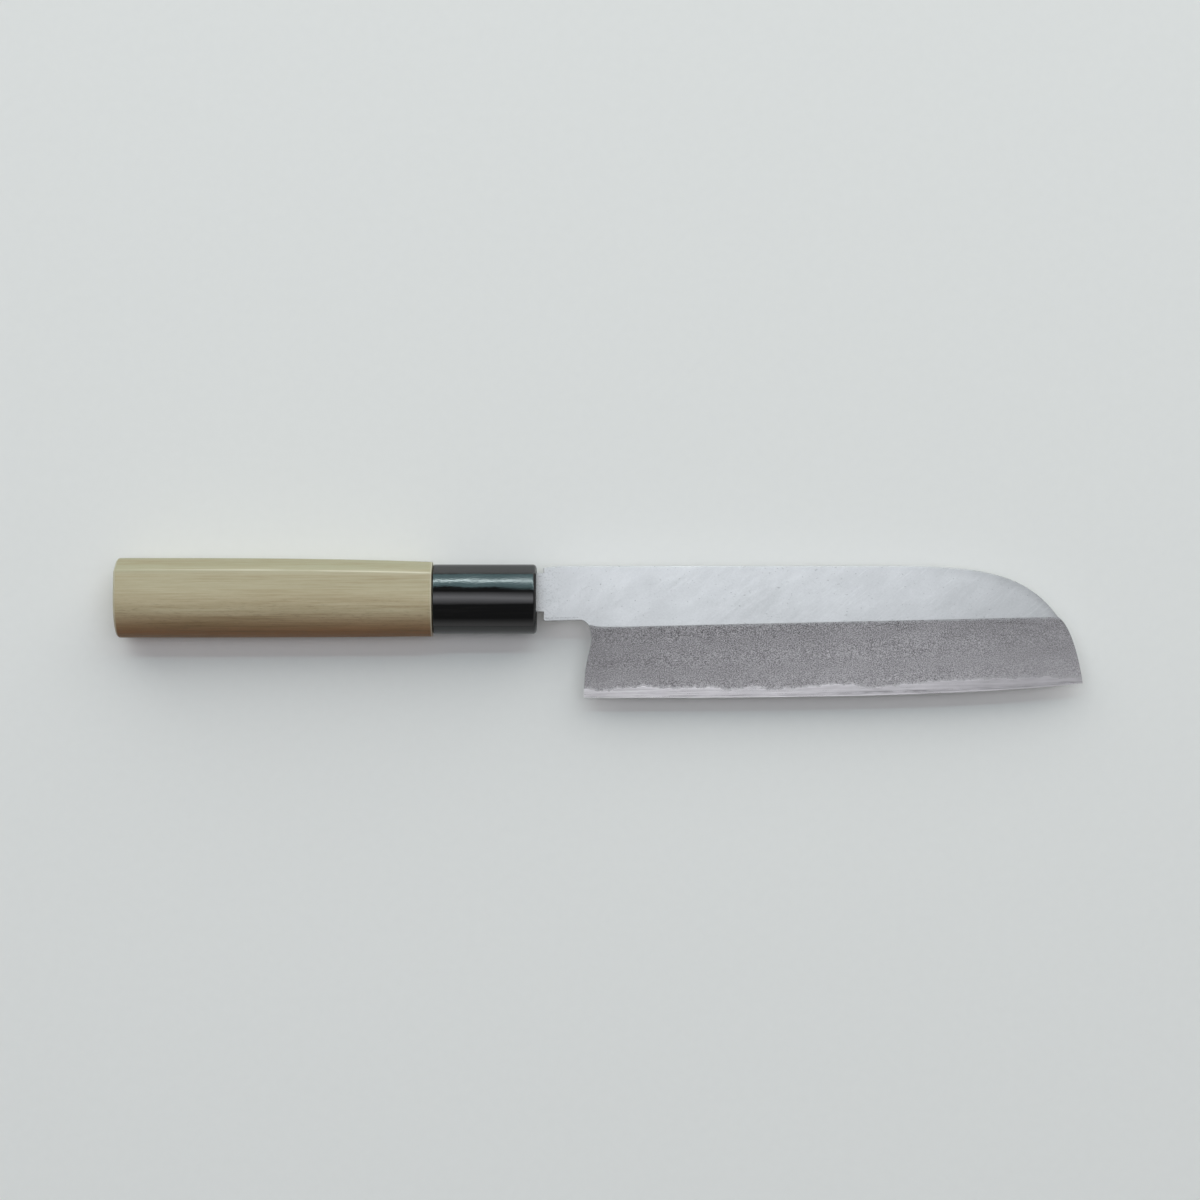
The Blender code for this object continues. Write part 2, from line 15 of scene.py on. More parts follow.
import bmesh
import bpy
import numpy as np
from bpy.props import FloatProperty, FloatVectorProperty, IntProperty, PointerProperty
from bpy.types import Operator, Panel, PropertyGroup
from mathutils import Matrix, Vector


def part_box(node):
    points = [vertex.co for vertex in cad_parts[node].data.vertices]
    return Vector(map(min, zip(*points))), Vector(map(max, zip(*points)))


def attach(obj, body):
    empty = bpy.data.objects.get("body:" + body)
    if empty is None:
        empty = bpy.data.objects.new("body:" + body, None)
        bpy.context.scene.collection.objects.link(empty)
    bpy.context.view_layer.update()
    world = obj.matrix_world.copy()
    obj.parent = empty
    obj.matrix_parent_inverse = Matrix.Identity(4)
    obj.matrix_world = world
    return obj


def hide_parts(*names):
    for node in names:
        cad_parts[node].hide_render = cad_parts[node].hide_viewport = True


bl_info = {
    "name": "Usuba knife",
    "version": (1, 0, 0),
    "blender": (4, 5, 0),
    "location": "3D View > Sidebar > Knife",
    "description": "Builds a single-bevel vegetable knife with a wood handle and a horn collar",
    "category": "Object",
}

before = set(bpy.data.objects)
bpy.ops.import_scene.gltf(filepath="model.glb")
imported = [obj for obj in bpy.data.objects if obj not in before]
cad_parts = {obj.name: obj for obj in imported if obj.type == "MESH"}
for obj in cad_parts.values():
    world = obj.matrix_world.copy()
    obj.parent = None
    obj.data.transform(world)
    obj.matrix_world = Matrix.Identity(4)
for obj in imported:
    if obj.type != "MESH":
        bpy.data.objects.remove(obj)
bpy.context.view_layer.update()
COLLAR_LOW, COLLAR_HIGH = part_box("ferrule")

# The collar's front end on the handle's axis, which is the origin of the knife's own directions
KNIFE_ORIGIN = np.array((
    COLLAR_HIGH.x,
    (COLLAR_LOW.y + COLLAR_HIGH.y) / 2,
    (COLLAR_LOW.z + COLLAR_HIGH.z) / 2,
))

# Fineness of the surfaces
CURVE_POINTS = 400
BLADE_COLUMNS = 400
BEVEL_ROWS = 34
FLAT_ROWS = 22
TANG_COLUMNS = 24
THROAT_COLUMNS = 16
RIM_STEPS = 4
ARC_POINTS = 132
FLAT_POINTS = 9
BEND_POINTS = 11
ROUND_STEPS = 8
BODY_STATIONS = 64
TENON_STATIONS = 8
SOCKET_STATIONS = 10
# Steps of the neck's columns: to its cut corner's end, to the shoulder, to the steel and to the heel
NECK_COLUMNS = (4, 8, 4, 14)
# Shares of the way: up the bare steel, across the butt, and across the other end faces
STEEL_ROWS = (0, 0.02, 0.07, 0.18, 0.34, 0.52, 0.70, 0.86, 0.96, 1.0)
CAP_RINGS = (0.0, 0.3, 0.6, 0.85, 0.97, 0.99)
END_FACE_RINGS = (0.04, 0.5, 0.96)
COLLAR_FACE_RINGS = (0.08, 0.92)
# Where the extra rows beside a border lie, as a share of the way across
BEVEL_GUARD = 0.006
COLUMN_GUARD = 0.0008
FLAT_GUARD = 0.012
# Rounds in which the ends of the bevel's rows settle on the outline
SETTLING_ROUNDS = 4
# Angles in degrees from which an edge is shaded sharp
SHARP_ROUND = 35
SHARP_BLADE = 30

# Points of a mesh, and places on a border, that are closer together than this are one
SAME_POINT = 2e-7
SAME_PLACE = 1e-8
# The share of the bevel's height above which its front end is the nose's corner
CORNER_SHARE = 0.985
# The sharpest corner that a rim's mitre follows, and the most of the metal that a rounding takes
MITRE_LIMIT = 0.35
MOST_ROUNDING = 0.45
# Distance over which the weld bends to the bare line
WELD_FADE = 0.0022
# The least height of the hollow
LEAST_HOLLOW = 0.001

# The collar's waves: swings at its front and rear end and wavelength of the one that runs round it, swing
# and wavelength of the one along its front, oval angles where that is highest and over which it fades,
# and where both start
ROUND_WAVES, ROUND_WAVELENGTH = (-0.0675, -0.27), 0.017
FRONT_WAVE, FRONT_WAVELENGTH = 2.35, 0.070
FRONT_TURN, FRONT_SPREAD = 1.66, 0.22
WAVE_START = 0.9

# How near to an end face the wood shows end grain
END_GRAIN = 0.00002
# The range where most of a noise lies
MOST_OF_NOISE = (0.36, 0.64)
# Depth of the stone lines in bare steel, and depth at which the hollow's rim ends
STONE_LINES = 0.000008
RIM_BORDER = 0.00005
# Heights of the dark lines: in the bare band above the edge, and on the neck above its underside, which
# starts a little ahead of the neck's end
THIN_LINE = 0.00062
WIDE_LINE = 0.0010
NECK_LINE = 0.00095
NECK_LINE_START = 0.0001

# Height of the bare steel above the edge, in millimetres, at places along the blade
LAMINATION = (
    (14, 2.9), (16, 2.9), (21, 2.2), (31, 3.4), (37, 3.7), (42, 3.0), (58, 3.3), (65, 2.3), (71, 3.3),
    (78, 2.4), (91, 3.1), (96, 3.8), (103, 3.8), (110, 2.5), (125, 3.4), (133, 4.0), (151, 3.9),
    (160, 3.5), (168, 3.5), (174, 2.4), (179, 2.1), (182, 2.1),
)
# Ripples on that line: wavelength and height in millimetres, and where they start
LAMINATION_RIPPLES = ((4.3, 0.16, 0.4), (2.1, 0.09, 2.0), (1.13, 0.05, 4.1), (7.9, 0.14, 5.2))
# Where the ripples start and end, and the length over which they grow, in millimetres
RIPPLES_FROM, RIPPLES_TO, RIPPLES_GROW = 17, 178, 6

# Colours of the lamps' light
KEY_TINT = (0.98, 1.0, 0.97)
SIDE_TINT = (0.62, 1.0, 1.06)
TUBE_TINT = (0.9, 1.0, 1.0)
GLOW_TINT = (0.8, 1.0, 1.0)
TOP_TINT = (0.985, 0.99, 1.045)
# Gap between lamps that stand one before another
LAMP_GAP = 0.02
# The backdrop fades out upwards between the first pair of directions' heights, and between the second
# beyond the knife's ends, which start between the third pair of directions' places along it
BACKDROP_LOW, BACKDROP_HIGH, BACKDROP_ENDS = (0.20, 0.55), (0.35, 0.75), (0.30, 0.60)
# The camera's sensor in millimetres, and the nearest and farthest that it sees
SENSOR_WIDTH = 36.0
NEAREST, FARTHEST = 0.01, 100.0


def size(name, description, metres):
    """A length that a user may change."""
    return FloatProperty(name=name, description=description, default=metres, unit="LENGTH", precision=5)


def angle(name, description, degrees):
    """An angle that a user may change."""
    return FloatProperty(name=name, description=description, default=math.radians(degrees), subtype="ANGLE")


def colour(name, description, rgb):
    """A colour that a user may change, in linear red, green and blue."""
    return FloatVectorProperty(name=name, description=description, default=rgb, size=3, min=0, max=1,
                               subtype="COLOR")


def brightness(name, description, default):
    """A brightness that a user may change."""
    return FloatProperty(name=name, description=description, default=default, min=0)


class BladeOutline(PropertyGroup):
    """The blade seen from the front."""
    length: size("Length", "Heel corner to tip", 0.16515)
    height: size("Height", "Spine down to the heel corner", 0.0437)
    spine_rise: size("Spine rise", "Spine above the handle's axis", 0.01095)
    edge_sweep: size("Edge sweep", "How far the edge climbs from heel to tip", 0.00485)
    edge_flat_run: size("Edge flat", "Pull of the level edge at the heel", 0.060)
    edge_belly_run: size("Edge belly", "Pull of the climbing edge behind the tip", 0.040)
    edge_belly_angle: angle("Belly angle", "Slope of the edge at the tip", 6.4)
    nose_length: size("Nose length", "Tip back to where the spine starts to fall", 0.0634)
    nose_crown_run: size("Nose crown", "Pull of the level spine into the nose", 0.032)
    nose_fall_run: size("Nose fall", "Pull of the falling nose above its corner", 0.0172)
    nose_fall_angle: angle("Fall angle", "Slope of the nose above its corner", 53.3)
    corner_back: size("Nose corner", "Tip back to the corner of the nose", 0.00845)
    cheek_run: size("Cheek pull", "Pull of the nose just below its corner", 0.0052)
    cheek_angle: angle("Cheek angle", "Slope of the nose just below its corner", 31.0)
    tip_run: size("Tip pull", "Pull of the nose above the tip", 0.0076)
    tip_rake: angle("Tip rake", "Lean of the nose at the tip", 8.3)
    machi_gap: size("Machi gap", "Bare tang between the collar and the neck", 0.0023)
    neck_length: size("Neck length", "End of the neck to the heel corner", 0.0133)
    neck_step: size("Neck step", "Neck below the tang, on the edge side", 0.00305)
    neck_rise: size("Neck rise", "Rise of the neck's underside towards the heel", 0.0003)
    neck_ease: size("Neck corner", "Cut corner at the neck's lower end", 0.0004)
    shoulder_length: size("Shoulder", "Run over which the neck's top reaches the spine line", 0.0048)
    shoulder_drop: size("Shoulder drop", "How far the neck's top starts below the spine line", 0.0006)
    heel_hook: size("Heel hook", "How far the throat lies ahead of the heel corner", 0.00248)
    heel_run: size("Heel pull", "Pull of the upright heel above its corner", 0.0135)
    throat_drop: size("Throat drop", "Throat below the neck's underside", 0.00595)
    throat_run: size("Throat pull", "Pull of the heel's curve below the throat", 0.0046)
    throat_round: size("Throat round", "Pull of the round between throat and neck", 0.0028)
    neck_corner_back: size("Round's end", "End of that round behind the heel corner", 0.0013)


class BladeSection(PropertyGroup):
    """The blade cut across, and the two metals in it."""
    spine_thickness: size("Spine thickness", "At the neck", 0.0032)
    nose_thickness: size("Nose thickness", "Of the flat, carried on to the tip", 0.0020)
    edge_land: size("Edge land", "Thickness left at the cutting edge", 0.00012)
    bevel_width_heel: size("Bevel at heel", "Edge up to the ridge line, at the heel", 0.02335)
    bevel_width_tip: size("Bevel at tip", "Edge up to the ridge line, at the tip", 0.02225)
    bevel_belly: size("Bevel belly", "How far the bevel swells in its middle", 0.00005)
    ridge_lift: size("Ridge lift", "Rise of the ridge line where it meets the throat", 0.0008)
    ridge_lift_run: size("Lift run", "Length over which that rise fades", 0.0022)
    spine_ease: size("Spine ease", "Rounding of the spine and the nose", 0.0002)
    neck_ease: size("Neck ease", "Rounding of the neck, the throat and the tang", 0.00015)
    edge_ease: size("Edge ease", "Rounding of the cutting edge", 0.000045)
    steel_band: size("Steel band", "Height of the weld's plane where it leaves the bevel", 0.0033)
    steel_at_spine: size("Steel at spine", "Thickness of the steel layer at the spine", 0.00095)
    steel_start: size("Steel start", "Neck's end to the rear end of the steel layer", 0.0055)
    hollow_depth: size("Hollow depth", "Deepest point of the hollow back", 0.00030)
    hollow_rim: size("Hollow rim", "Flat rim left round the hollow", 0.0021)
    hollow_heel_rim: size("Heel rim", "Flat left behind the hollow", 0.0045)
    hollow_nose_rim: size("Nose rim", "Flat left before the tip", 0.0055)


class TangSizes(PropertyGroup):
    """The tang, and the socket burnt for it."""
    length: size("Length", "Behind the collar's front end", 0.096)
    height: size("Height", "At the neck", 0.0129)
    end_height: size("End height", "At the tang's end", 0.0062)
    end_rise: size("End rise", "Middle of the tang's end above the handle's axis", 0.0004)
    step_above: size("Step above", "Spine line down to the tang's top", 0.00225)
    relief: size("Relief", "Tang thinner than the neck, each side", 0.00015)
    end_thickness: size("End thickness", "At the tang's end", 0.0021)
    clearance: size("Clearance", "Socket round the tang", 0.0003)


class CollarSizes(PropertyGroup):
    """The horn collar."""
    length: size("Length", "Front end to rear end", 0.0340)
    half_height: size("Half height", "Handle's axis to the collar's top", 0.0115)
    half_side: size("Half thickness", "Handle's axis to the collar's flats", 0.0094)
    wall_top: size("Wall at top", "Towards the spine and the edge", 0.00135)
    wall_side: size("Wall at side", "Towards the flats", 0.0017)
    front_round: size("Front round", "Rounding of the front rim", 0.0012)
    rear_round: size("Rear round", "Rounding of the rear rim", 0.0003)
    ridge_softness: size("Ridge softness", "Length eased away on each side of the ridge", 0.00025)
    crown: size("Crown", "Swell of the two faces beside the ridge", 0.000022)
    waviness: size("Waviness", "Height of the polished surface's slow waves", 0.000022)
    clearance: size("Clearance", "Between collar and wood", 0.0003)


class HandleSizes(PropertyGroup):
    """The wood handle."""
    length: size("Length", "Butt to the collar's front end", 0.1386)
    tenon_recess: size("Tenon recess", "End of the tenon behind the collar's front end", 0.0004)
    step_high: size("Step high", "Wood proud of the collar, towards spine and edge", 0.0008)
    step_side: size("Step side", "Wood proud of the collar, on the flats", 0.0005)
    flare_high: size("Flare high", "Extra half height at the butt", 0.00085)
    flare_side: size("Flare side", "Extra half thickness at the butt", 0.0006)
    butt_rise: size("Butt rise", "The butt's middle above the handle's axis", 0.00045)
    butt_round: size("Butt round", "Rounding of the butt's rim", 0.0012)
    shoulder_round: size("Shoulder round", "Rounding of the wood's rim at the collar", 0.0003)
    tenon_ease: size("Tenon ease", "Rounding of the tenon's end", 0.0002)
    ridge_rise: size("Ridge rise", "Ridge above the axis, at the collar", 0.0086)
    ridge_proud: size("Ridge proud", "Ridge beyond the oval, on the front", 0.0015)
    ridge_softness: size("Ridge softness", "Length eased away on each side of the ridge", 0.0007)
    crown: size("Crown", "Swell of the two faces beside the ridge", 0.00003)


class FinishColours(PropertyGroup):
    """The colours that the finishes start from."""
    wood: colour("Wood", "Pale ho wood", (0.475, 0.425, 0.284))
    # Painted light: a greener tint above the ridge, for the greenish light that facet catches
    wood_lit_high: colour("Wood high", "Greener wood above the ridge", (0.390, 0.374, 0.252))
    # Painted light: lighter, warmer wood along the handle's middle, where the lamps light it too little
    wood_lit_middle: colour("Wood middle", "Warmer wood along the handle's axis", (0.530, 0.454, 0.299))
    # Painted shade: the handle's side towards the edge, browner and darker, as if turned away from the light
    wood_shaded_low: colour("Wood low", "Browner wood on the side of the edge", (0.266, 0.112, 0.032))
    # Painted highlight: paler wood on the ridge and the rounded rims, where they catch the light
    wood_highlight: colour("Wood worn", "Paler wood on the ridge and the rims", (0.68, 0.65, 0.52))
    wood_dark: colour("Wood grain", "Darker streaks of the wood", (0.275, 0.180, 0.076))
    wood_pore: colour("Wood pores", "Short dark pores", (0.15, 0.105, 0.06))
    char: colour("Char", "Wall of the socket that the hot tang burnt", (0.035, 0.022, 0.015))
    horn: colour("Horn", "Black horn", (0.0035, 0.0035, 0.0038))
    horn_streak: colour("Horn streaks", "Faint grey streaks in the horn", (0.012, 0.0115, 0.012))
    iron_flat: colour("Iron flat", "Satin iron above the ridge line", (0.490, 0.504, 0.508))
    iron_mist: colour("Iron bevel", "Misted iron of the bevel", (0.354, 0.344, 0.354))
    steel: colour("Steel", "Bare steel along the edge", (0.787, 0.770, 0.787))
    floor: colour("Floor", "Pale floor", (0.86, 0.86, 0.85))


class StageSettings(PropertyGroup):
    """Camera, lamps and floor."""
    camera_height: size("Camera height", "Above the handle's axis", 0.980)
    camera_x: size("Camera X", "Camera ahead of the collar's front end", 0.02096)
    camera_y: size("Camera Y", "Camera towards the spine from the handle's axis", -0.00028)
    view_width: size("View width", "Width of the picture at the handle's axis", 0.3967)
    floor_width: size("Floor width", "Side of the square floor", 8.0)
    lamp_distance: size("Lamp distance", "From the knife to each lamp", 2.7)
    lamp_length: size("Lamp length", "Of each lamp but the key lamp, along the knife", 3.0)
    key_angle: angle("Key angle", "Key lamp off the vertical, towards the spine", 55.5)
    key_length: size("Key length", "Key lamp, along the knife", 6.0)
    key_width: size("Key width", "Key lamp, across the knife", 2.46)
    key_level: brightness("Key level", "Brightness of the key lamp", 1.7)
    side_angle: angle("Side angle", "Side panel off the vertical, towards the spine", 27.9)
    side_width: size("Side width", "Side panel, across the knife", 0.208)
    side_level: brightness("Side level", "Brightness of the side panel", 2.4)
    tube_angle: angle("Tube angle", "Tube and its glow off the vertical, towards the spine", 27.45)
    tube_width: size("Tube width", "Tube in front of the side panel", 0.018)
    tube_level: brightness("Tube level", "Brightness of the tube", 14)
    glow_width: size("Glow width", "Glow on both sides of the tube", 0.058)
    glow_level: brightness("Glow level", "Brightness of the glow", 2.3)
    top_angle: angle("Top angle", "Top panel off the vertical, towards the spine", 3.2)
    top_width: size("Top width", "Widest top panel, across the knife", 1.60)
    top_layers: IntProperty(name="Top layers", description="Top panels, each narrower than the one behind it",
                            default=7, min=1, max=9)
    top_level: brightness("Top level", "Brightness of each top panel", 0.352)
    room_level: brightness("Room level", "Even light of the room", 0.12)
    backdrop_level: brightness("Backdrop level", "Pale backdrop that the camera and reflections see", 0.75)


def bezier(start, pull_start, pull_end, end):
    """A cubic Bezier curve: its end points weigh with the cubes of their shares, its pulls with three
    times the square of the nearer share and the farther one."""
    t = np.linspace(0.0, 1.0, CURVE_POINTS)[:, None]
    a, b, c, d = (np.asarray(p, float) for p in (start, pull_start, pull_end, end))
    return a * (1 - t) ** 3 + 3 * b * t * (1 - t) ** 2 + 3 * c * t ** 2 * (1 - t) + d * t ** 3


def away(start, run, turn):
    """The point reached from start by going run in a direction given in radians from +X."""
    return np.asarray(start, float) + run * np.array((math.cos(turn), math.sin(turn)))


def between(start, end, share):
    """The value at that share of the way from start to end."""
    return start + (end - start) * share


def height_on(curve, x):
    """Height of a curve at x, on straight lines between its points."""
    return np.interp(x, curve[:, 0], curve[:, 1])


def inset(curve, depth):
    """The curve moved to its right-hand side by depth, square to its own direction."""
    direction = np.gradient(curve, axis=0)
    direction /= np.linalg.norm(direction, axis=1, keepdims=True)
    right = np.stack((direction[:, 1], -direction[:, 0]), axis=1)
    return curve + right * np.reshape(depth, (-1, 1))


def steps_with_guards(count, guard):
    """Even steps from 0 to 1, with one more step at guard from each end.

    The narrow first and last steps keep the shading of a flat face from running into its rounded rim.
    """
    even = np.linspace(0.0, 1.0, count + 1)
    return np.concatenate(((0.0, guard), even[1:-1], (1 - guard, 1.0)))


def grid_faces(rows, columns, start, wrap_columns=False, wrap_rows=False):
    """Corner numbers of the quads of a grid of points, stored row by row from number start."""
    across = np.arange(columns if wrap_columns else columns - 1)
    down = np.arange(rows if wrap_rows else rows - 1)
    i, j = np.meshgrid(down, across, indexing="ij")
    near, far = i * columns, ((i + 1) % rows) * columns
    left, right = j, (j + 1) % columns
    quads = np.stack((near + left, near + right, far + right, far + left), axis=-1)
    return quads.reshape(-1, 4) + start


class Surface:
    """Patches of points gathered into one closed mesh, each with the number of its finish."""

    def __init__(self):
        self.points = []
        self.faces = []
        self.finish = []
        self.count = 0

    def add(self, points, finish=0, **wrap):
        """Adds a grid of points, which may close on itself across or along."""
        rows, columns = points.shape[:2]
        faces = grid_faces(rows, columns, self.count, **wrap)
        self.points.append(points.reshape(-1, 3))
        self.faces.append(faces)
        self.finish.append(np.full(len(faces), finish))
        self.count += rows * columns

    def build(self, scene, name, node, slot, finishes, sharp_degrees, **measures):
        """Puts the patches into a mesh, joins their seams and poles, and hangs it on the frame.

        Each measure is a function of x, y and z, and its value at each point is written into the mesh
        for the finishes to read.
        """
        mesh = bpy.data.meshes.new(name)
        points = np.concatenate(self.points) + KNIFE_ORIGIN
        faces = np.concatenate(self.faces)
        mesh.vertices.add(len(points))
        mesh.vertices.foreach_set("co", points.ravel())
        mesh.loops.add(faces.size)
        mesh.loops.foreach_set("vertex_index", faces.ravel())
        mesh.polygons.add(len(faces))
        mesh.polygons.foreach_set("loop_start", np.arange(0, faces.size, 4))
        mesh.update(calc_edges=True)
        for finish in finishes:
            mesh.materials.append(finish(scene.usuba_colours))
        mesh.polygons.foreach_set("material_index", np.concatenate(self.finish))
        close_seams(mesh)
        mesh.shade_smooth()
        mesh.set_sharp_from_angle(angle=math.radians(sharp_degrees))
        points = np.empty(3 * len(mesh.vertices))
        mesh.vertices.foreach_get("co", points)
        x, y, z = (points.reshape(-1, 3) - KNIFE_ORIGIN).T
        for measure, function in measures.items():
            mesh.attributes.new(measure, "FLOAT", "POINT").data.foreach_set("value", function(x, y, z))
        piece = bpy.data.objects.new(name, mesh)
        scene.collection.objects.link(piece)
        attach(piece, "root")
        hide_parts(node)


def close_seams(mesh):
    """Merges points that coincide, drops the faces that this leaves without area, and turns the rest
    outwards. Stops if the surface isn't closed."""
    bm = bmesh.new()
    bm.from_mesh(mesh)
    bmesh.ops.remove_doubles(bm, verts=bm.verts, dist=SAME_POINT)
    bmesh.ops.dissolve_degenerate(bm, edges=bm.edges, dist=SAME_POINT)
    bmesh.ops.recalc_face_normals(bm, faces=bm.faces)
    open_edges = sum(1 for edge in bm.edges if len(edge.link_faces) != 2)
    bm.to_mesh(mesh)
    bm.free()
    if open_edges:
        raise RuntimeError(f"{mesh.name} has {open_edges} edges that don't join two faces")


def times(rgb, factor):
    """A plain colour made lighter or darker."""
    return tuple(factor * channel for channel in rgb)


def feed(tree, source, socket):
    """Links a Value to a socket, or writes a plain number, place or colour there."""
    if isinstance(source, Value):
        tree.links.new(source.socket, socket)
    elif hasattr(source, "__len__"):
        socket.default_value = (*source, 1.0)[:len(socket.default_value)]
    else:
        socket.default_value = source


def add_node(tree, kind, **sources):
    """A new node with a Value, number, place or colour fed to each socket that is named."""
    node = tree.nodes.new("ShaderNode" + kind)
    for name, source in sources.items():
        feed(tree, source, node.inputs[name.replace("_", " ")])
    return node


class Value:
    """What a node gives out at each place of a surface. Sums and products of it are Math nodes."""

    def __init__(self, tree, socket):
        self.tree = tree
        self.socket = socket

    def combine(self, operation, other=0.0):
        """What a Math node makes of the two."""
        node = add_node(self.tree, "Math")
        node.operation = operation
        feed(self.tree, self, node.inputs[0])
        feed(self.tree, other, node.inputs[1])
        return Value(self.tree, node.outputs[0])

    def __add__(self, other):
        return self.combine("ADD", other)

    def __sub__(self, other):
        return self.combine("SUBTRACT", other)

    def __mul__(self, other):
        return self.combine("MULTIPLY", other)

    def __abs__(self):
        return self.combine("ABSOLUTE")

    def or_more(self, other):
        """The greater of the two."""
        return self.combine("MAXIMUM", other)

    def spread(self, low, high, to_low=0.0, to_high=1.0):
        """The value taken from the range low to high to another range, and held at its ends."""
        node = add_node(self.tree, "MapRange", Value=self, From_Min=low, From_Max=high, To_Min=to_low,
                        To_Max=to_high)
        node.clamp = True
        return Value(self.tree, node.outputs["Result"])

    def swing(self, to_low, to_high):
        """A noise taken from the range where most of it lies to another one."""
        return self.spread(*MOST_OF_NOISE, to_low, to_high)


class Finish:
    """A material whose Principled shader is fed with patterns that lie fixed in the piece."""

    def __init__(self, name, **sockets):
        self.material = bpy.data.materials.new(name)
        self.material.use_nodes = True
        self.tree = self.material.node_tree
        self.shader = self.tree.nodes["Principled BSDF"]
        for socket, value in sockets.items():
            self.shader.inputs[socket].default_value = value

    def done(self, base, normal=None, roughness=None):
        """Feeds the shader and gives back the material."""
        for name, source in (("Base Color", base), ("Normal", normal), ("Roughness", roughness)):
            if source is not None:
                feed(self.tree, source, self.shader.inputs[name])
        return self.material

    def grain_space(self, lengths, turn=(0, 0, 0), place=(0, 0, 0)):
        """Object coordinates about a place, turned back by turn and counted in grain lengths."""
        where = Value(self.tree, add_node(self.tree, "TexCoord").outputs["Object"])
        node = add_node(self.tree, "Mapping")
        node.vector_type = "TEXTURE"
        for name, source in (("Vector", where), ("Location", place), ("Rotation", turn), ("Scale", lengths)):
            feed(self.tree, source, node.inputs[name])
        return Value(self.tree, node.outputs["Vector"])

    def noise(self, lengths, turn=0.0, place=(0, 0, 0), detail=3.0, roughness=0.5, distortion=0.0):
        """Smooth random values about 0.5, one swell to each grain length, turned about Z."""
        space = self.grain_space(lengths, (0, 0, turn), place)
        node = add_node(self.tree, "TexNoise", Vector=space, Scale=1.0, Detail=detail, Roughness=roughness,
                        Distortion=distortion)
        return Value(self.tree, node.outputs["Fac"])

    def along(self):
        """Metres ahead of the collar's front end."""
        node = add_node(self.tree, "SeparateXYZ", Vector=self.grain_space((1, 1, 1), place=KNIFE_ORIGIN))
        return Value(self.tree, node.outputs["X"])

    def measured(self, name):
        """The measure that is written into the mesh under that name."""
        node = add_node(self.tree, "Attribute")
        node.attribute_name = name
        return Value(self.tree, node.outputs["Fac"])

    def mix(self, share, first, second, mode="MIX"):
        """Two colours mixed by a share."""
        node = add_node(self.tree, "Mix")
        node.data_type = "RGBA"
        node.blend_type = mode
        for socket, source in ((0, share), (6, first), (7, second)):
            feed(self.tree, source, node.inputs[socket])
        return Value(self.tree, node.outputs[2])

    def shaded(self, base, grey):
        """A colour times a grey value."""
        shade = add_node(self.tree, "CombineColor", Red=grey, Green=grey, Blue=grey)
        return self.mix(1.0, base, Value(self.tree, shade.outputs["Color"]), mode="MULTIPLY")

    def bump(self, height, depth, strength=1.0, under=None):
        """Normals of a relief of that depth in metres, laid over another relief if one is given."""
        node = add_node(self.tree, "Bump", Strength=strength, Distance=depth, Height=height)
        if under is not None:
            feed(self.tree, under, node.inputs["Normal"])
        return Value(self.tree, node.outputs["Normal"])


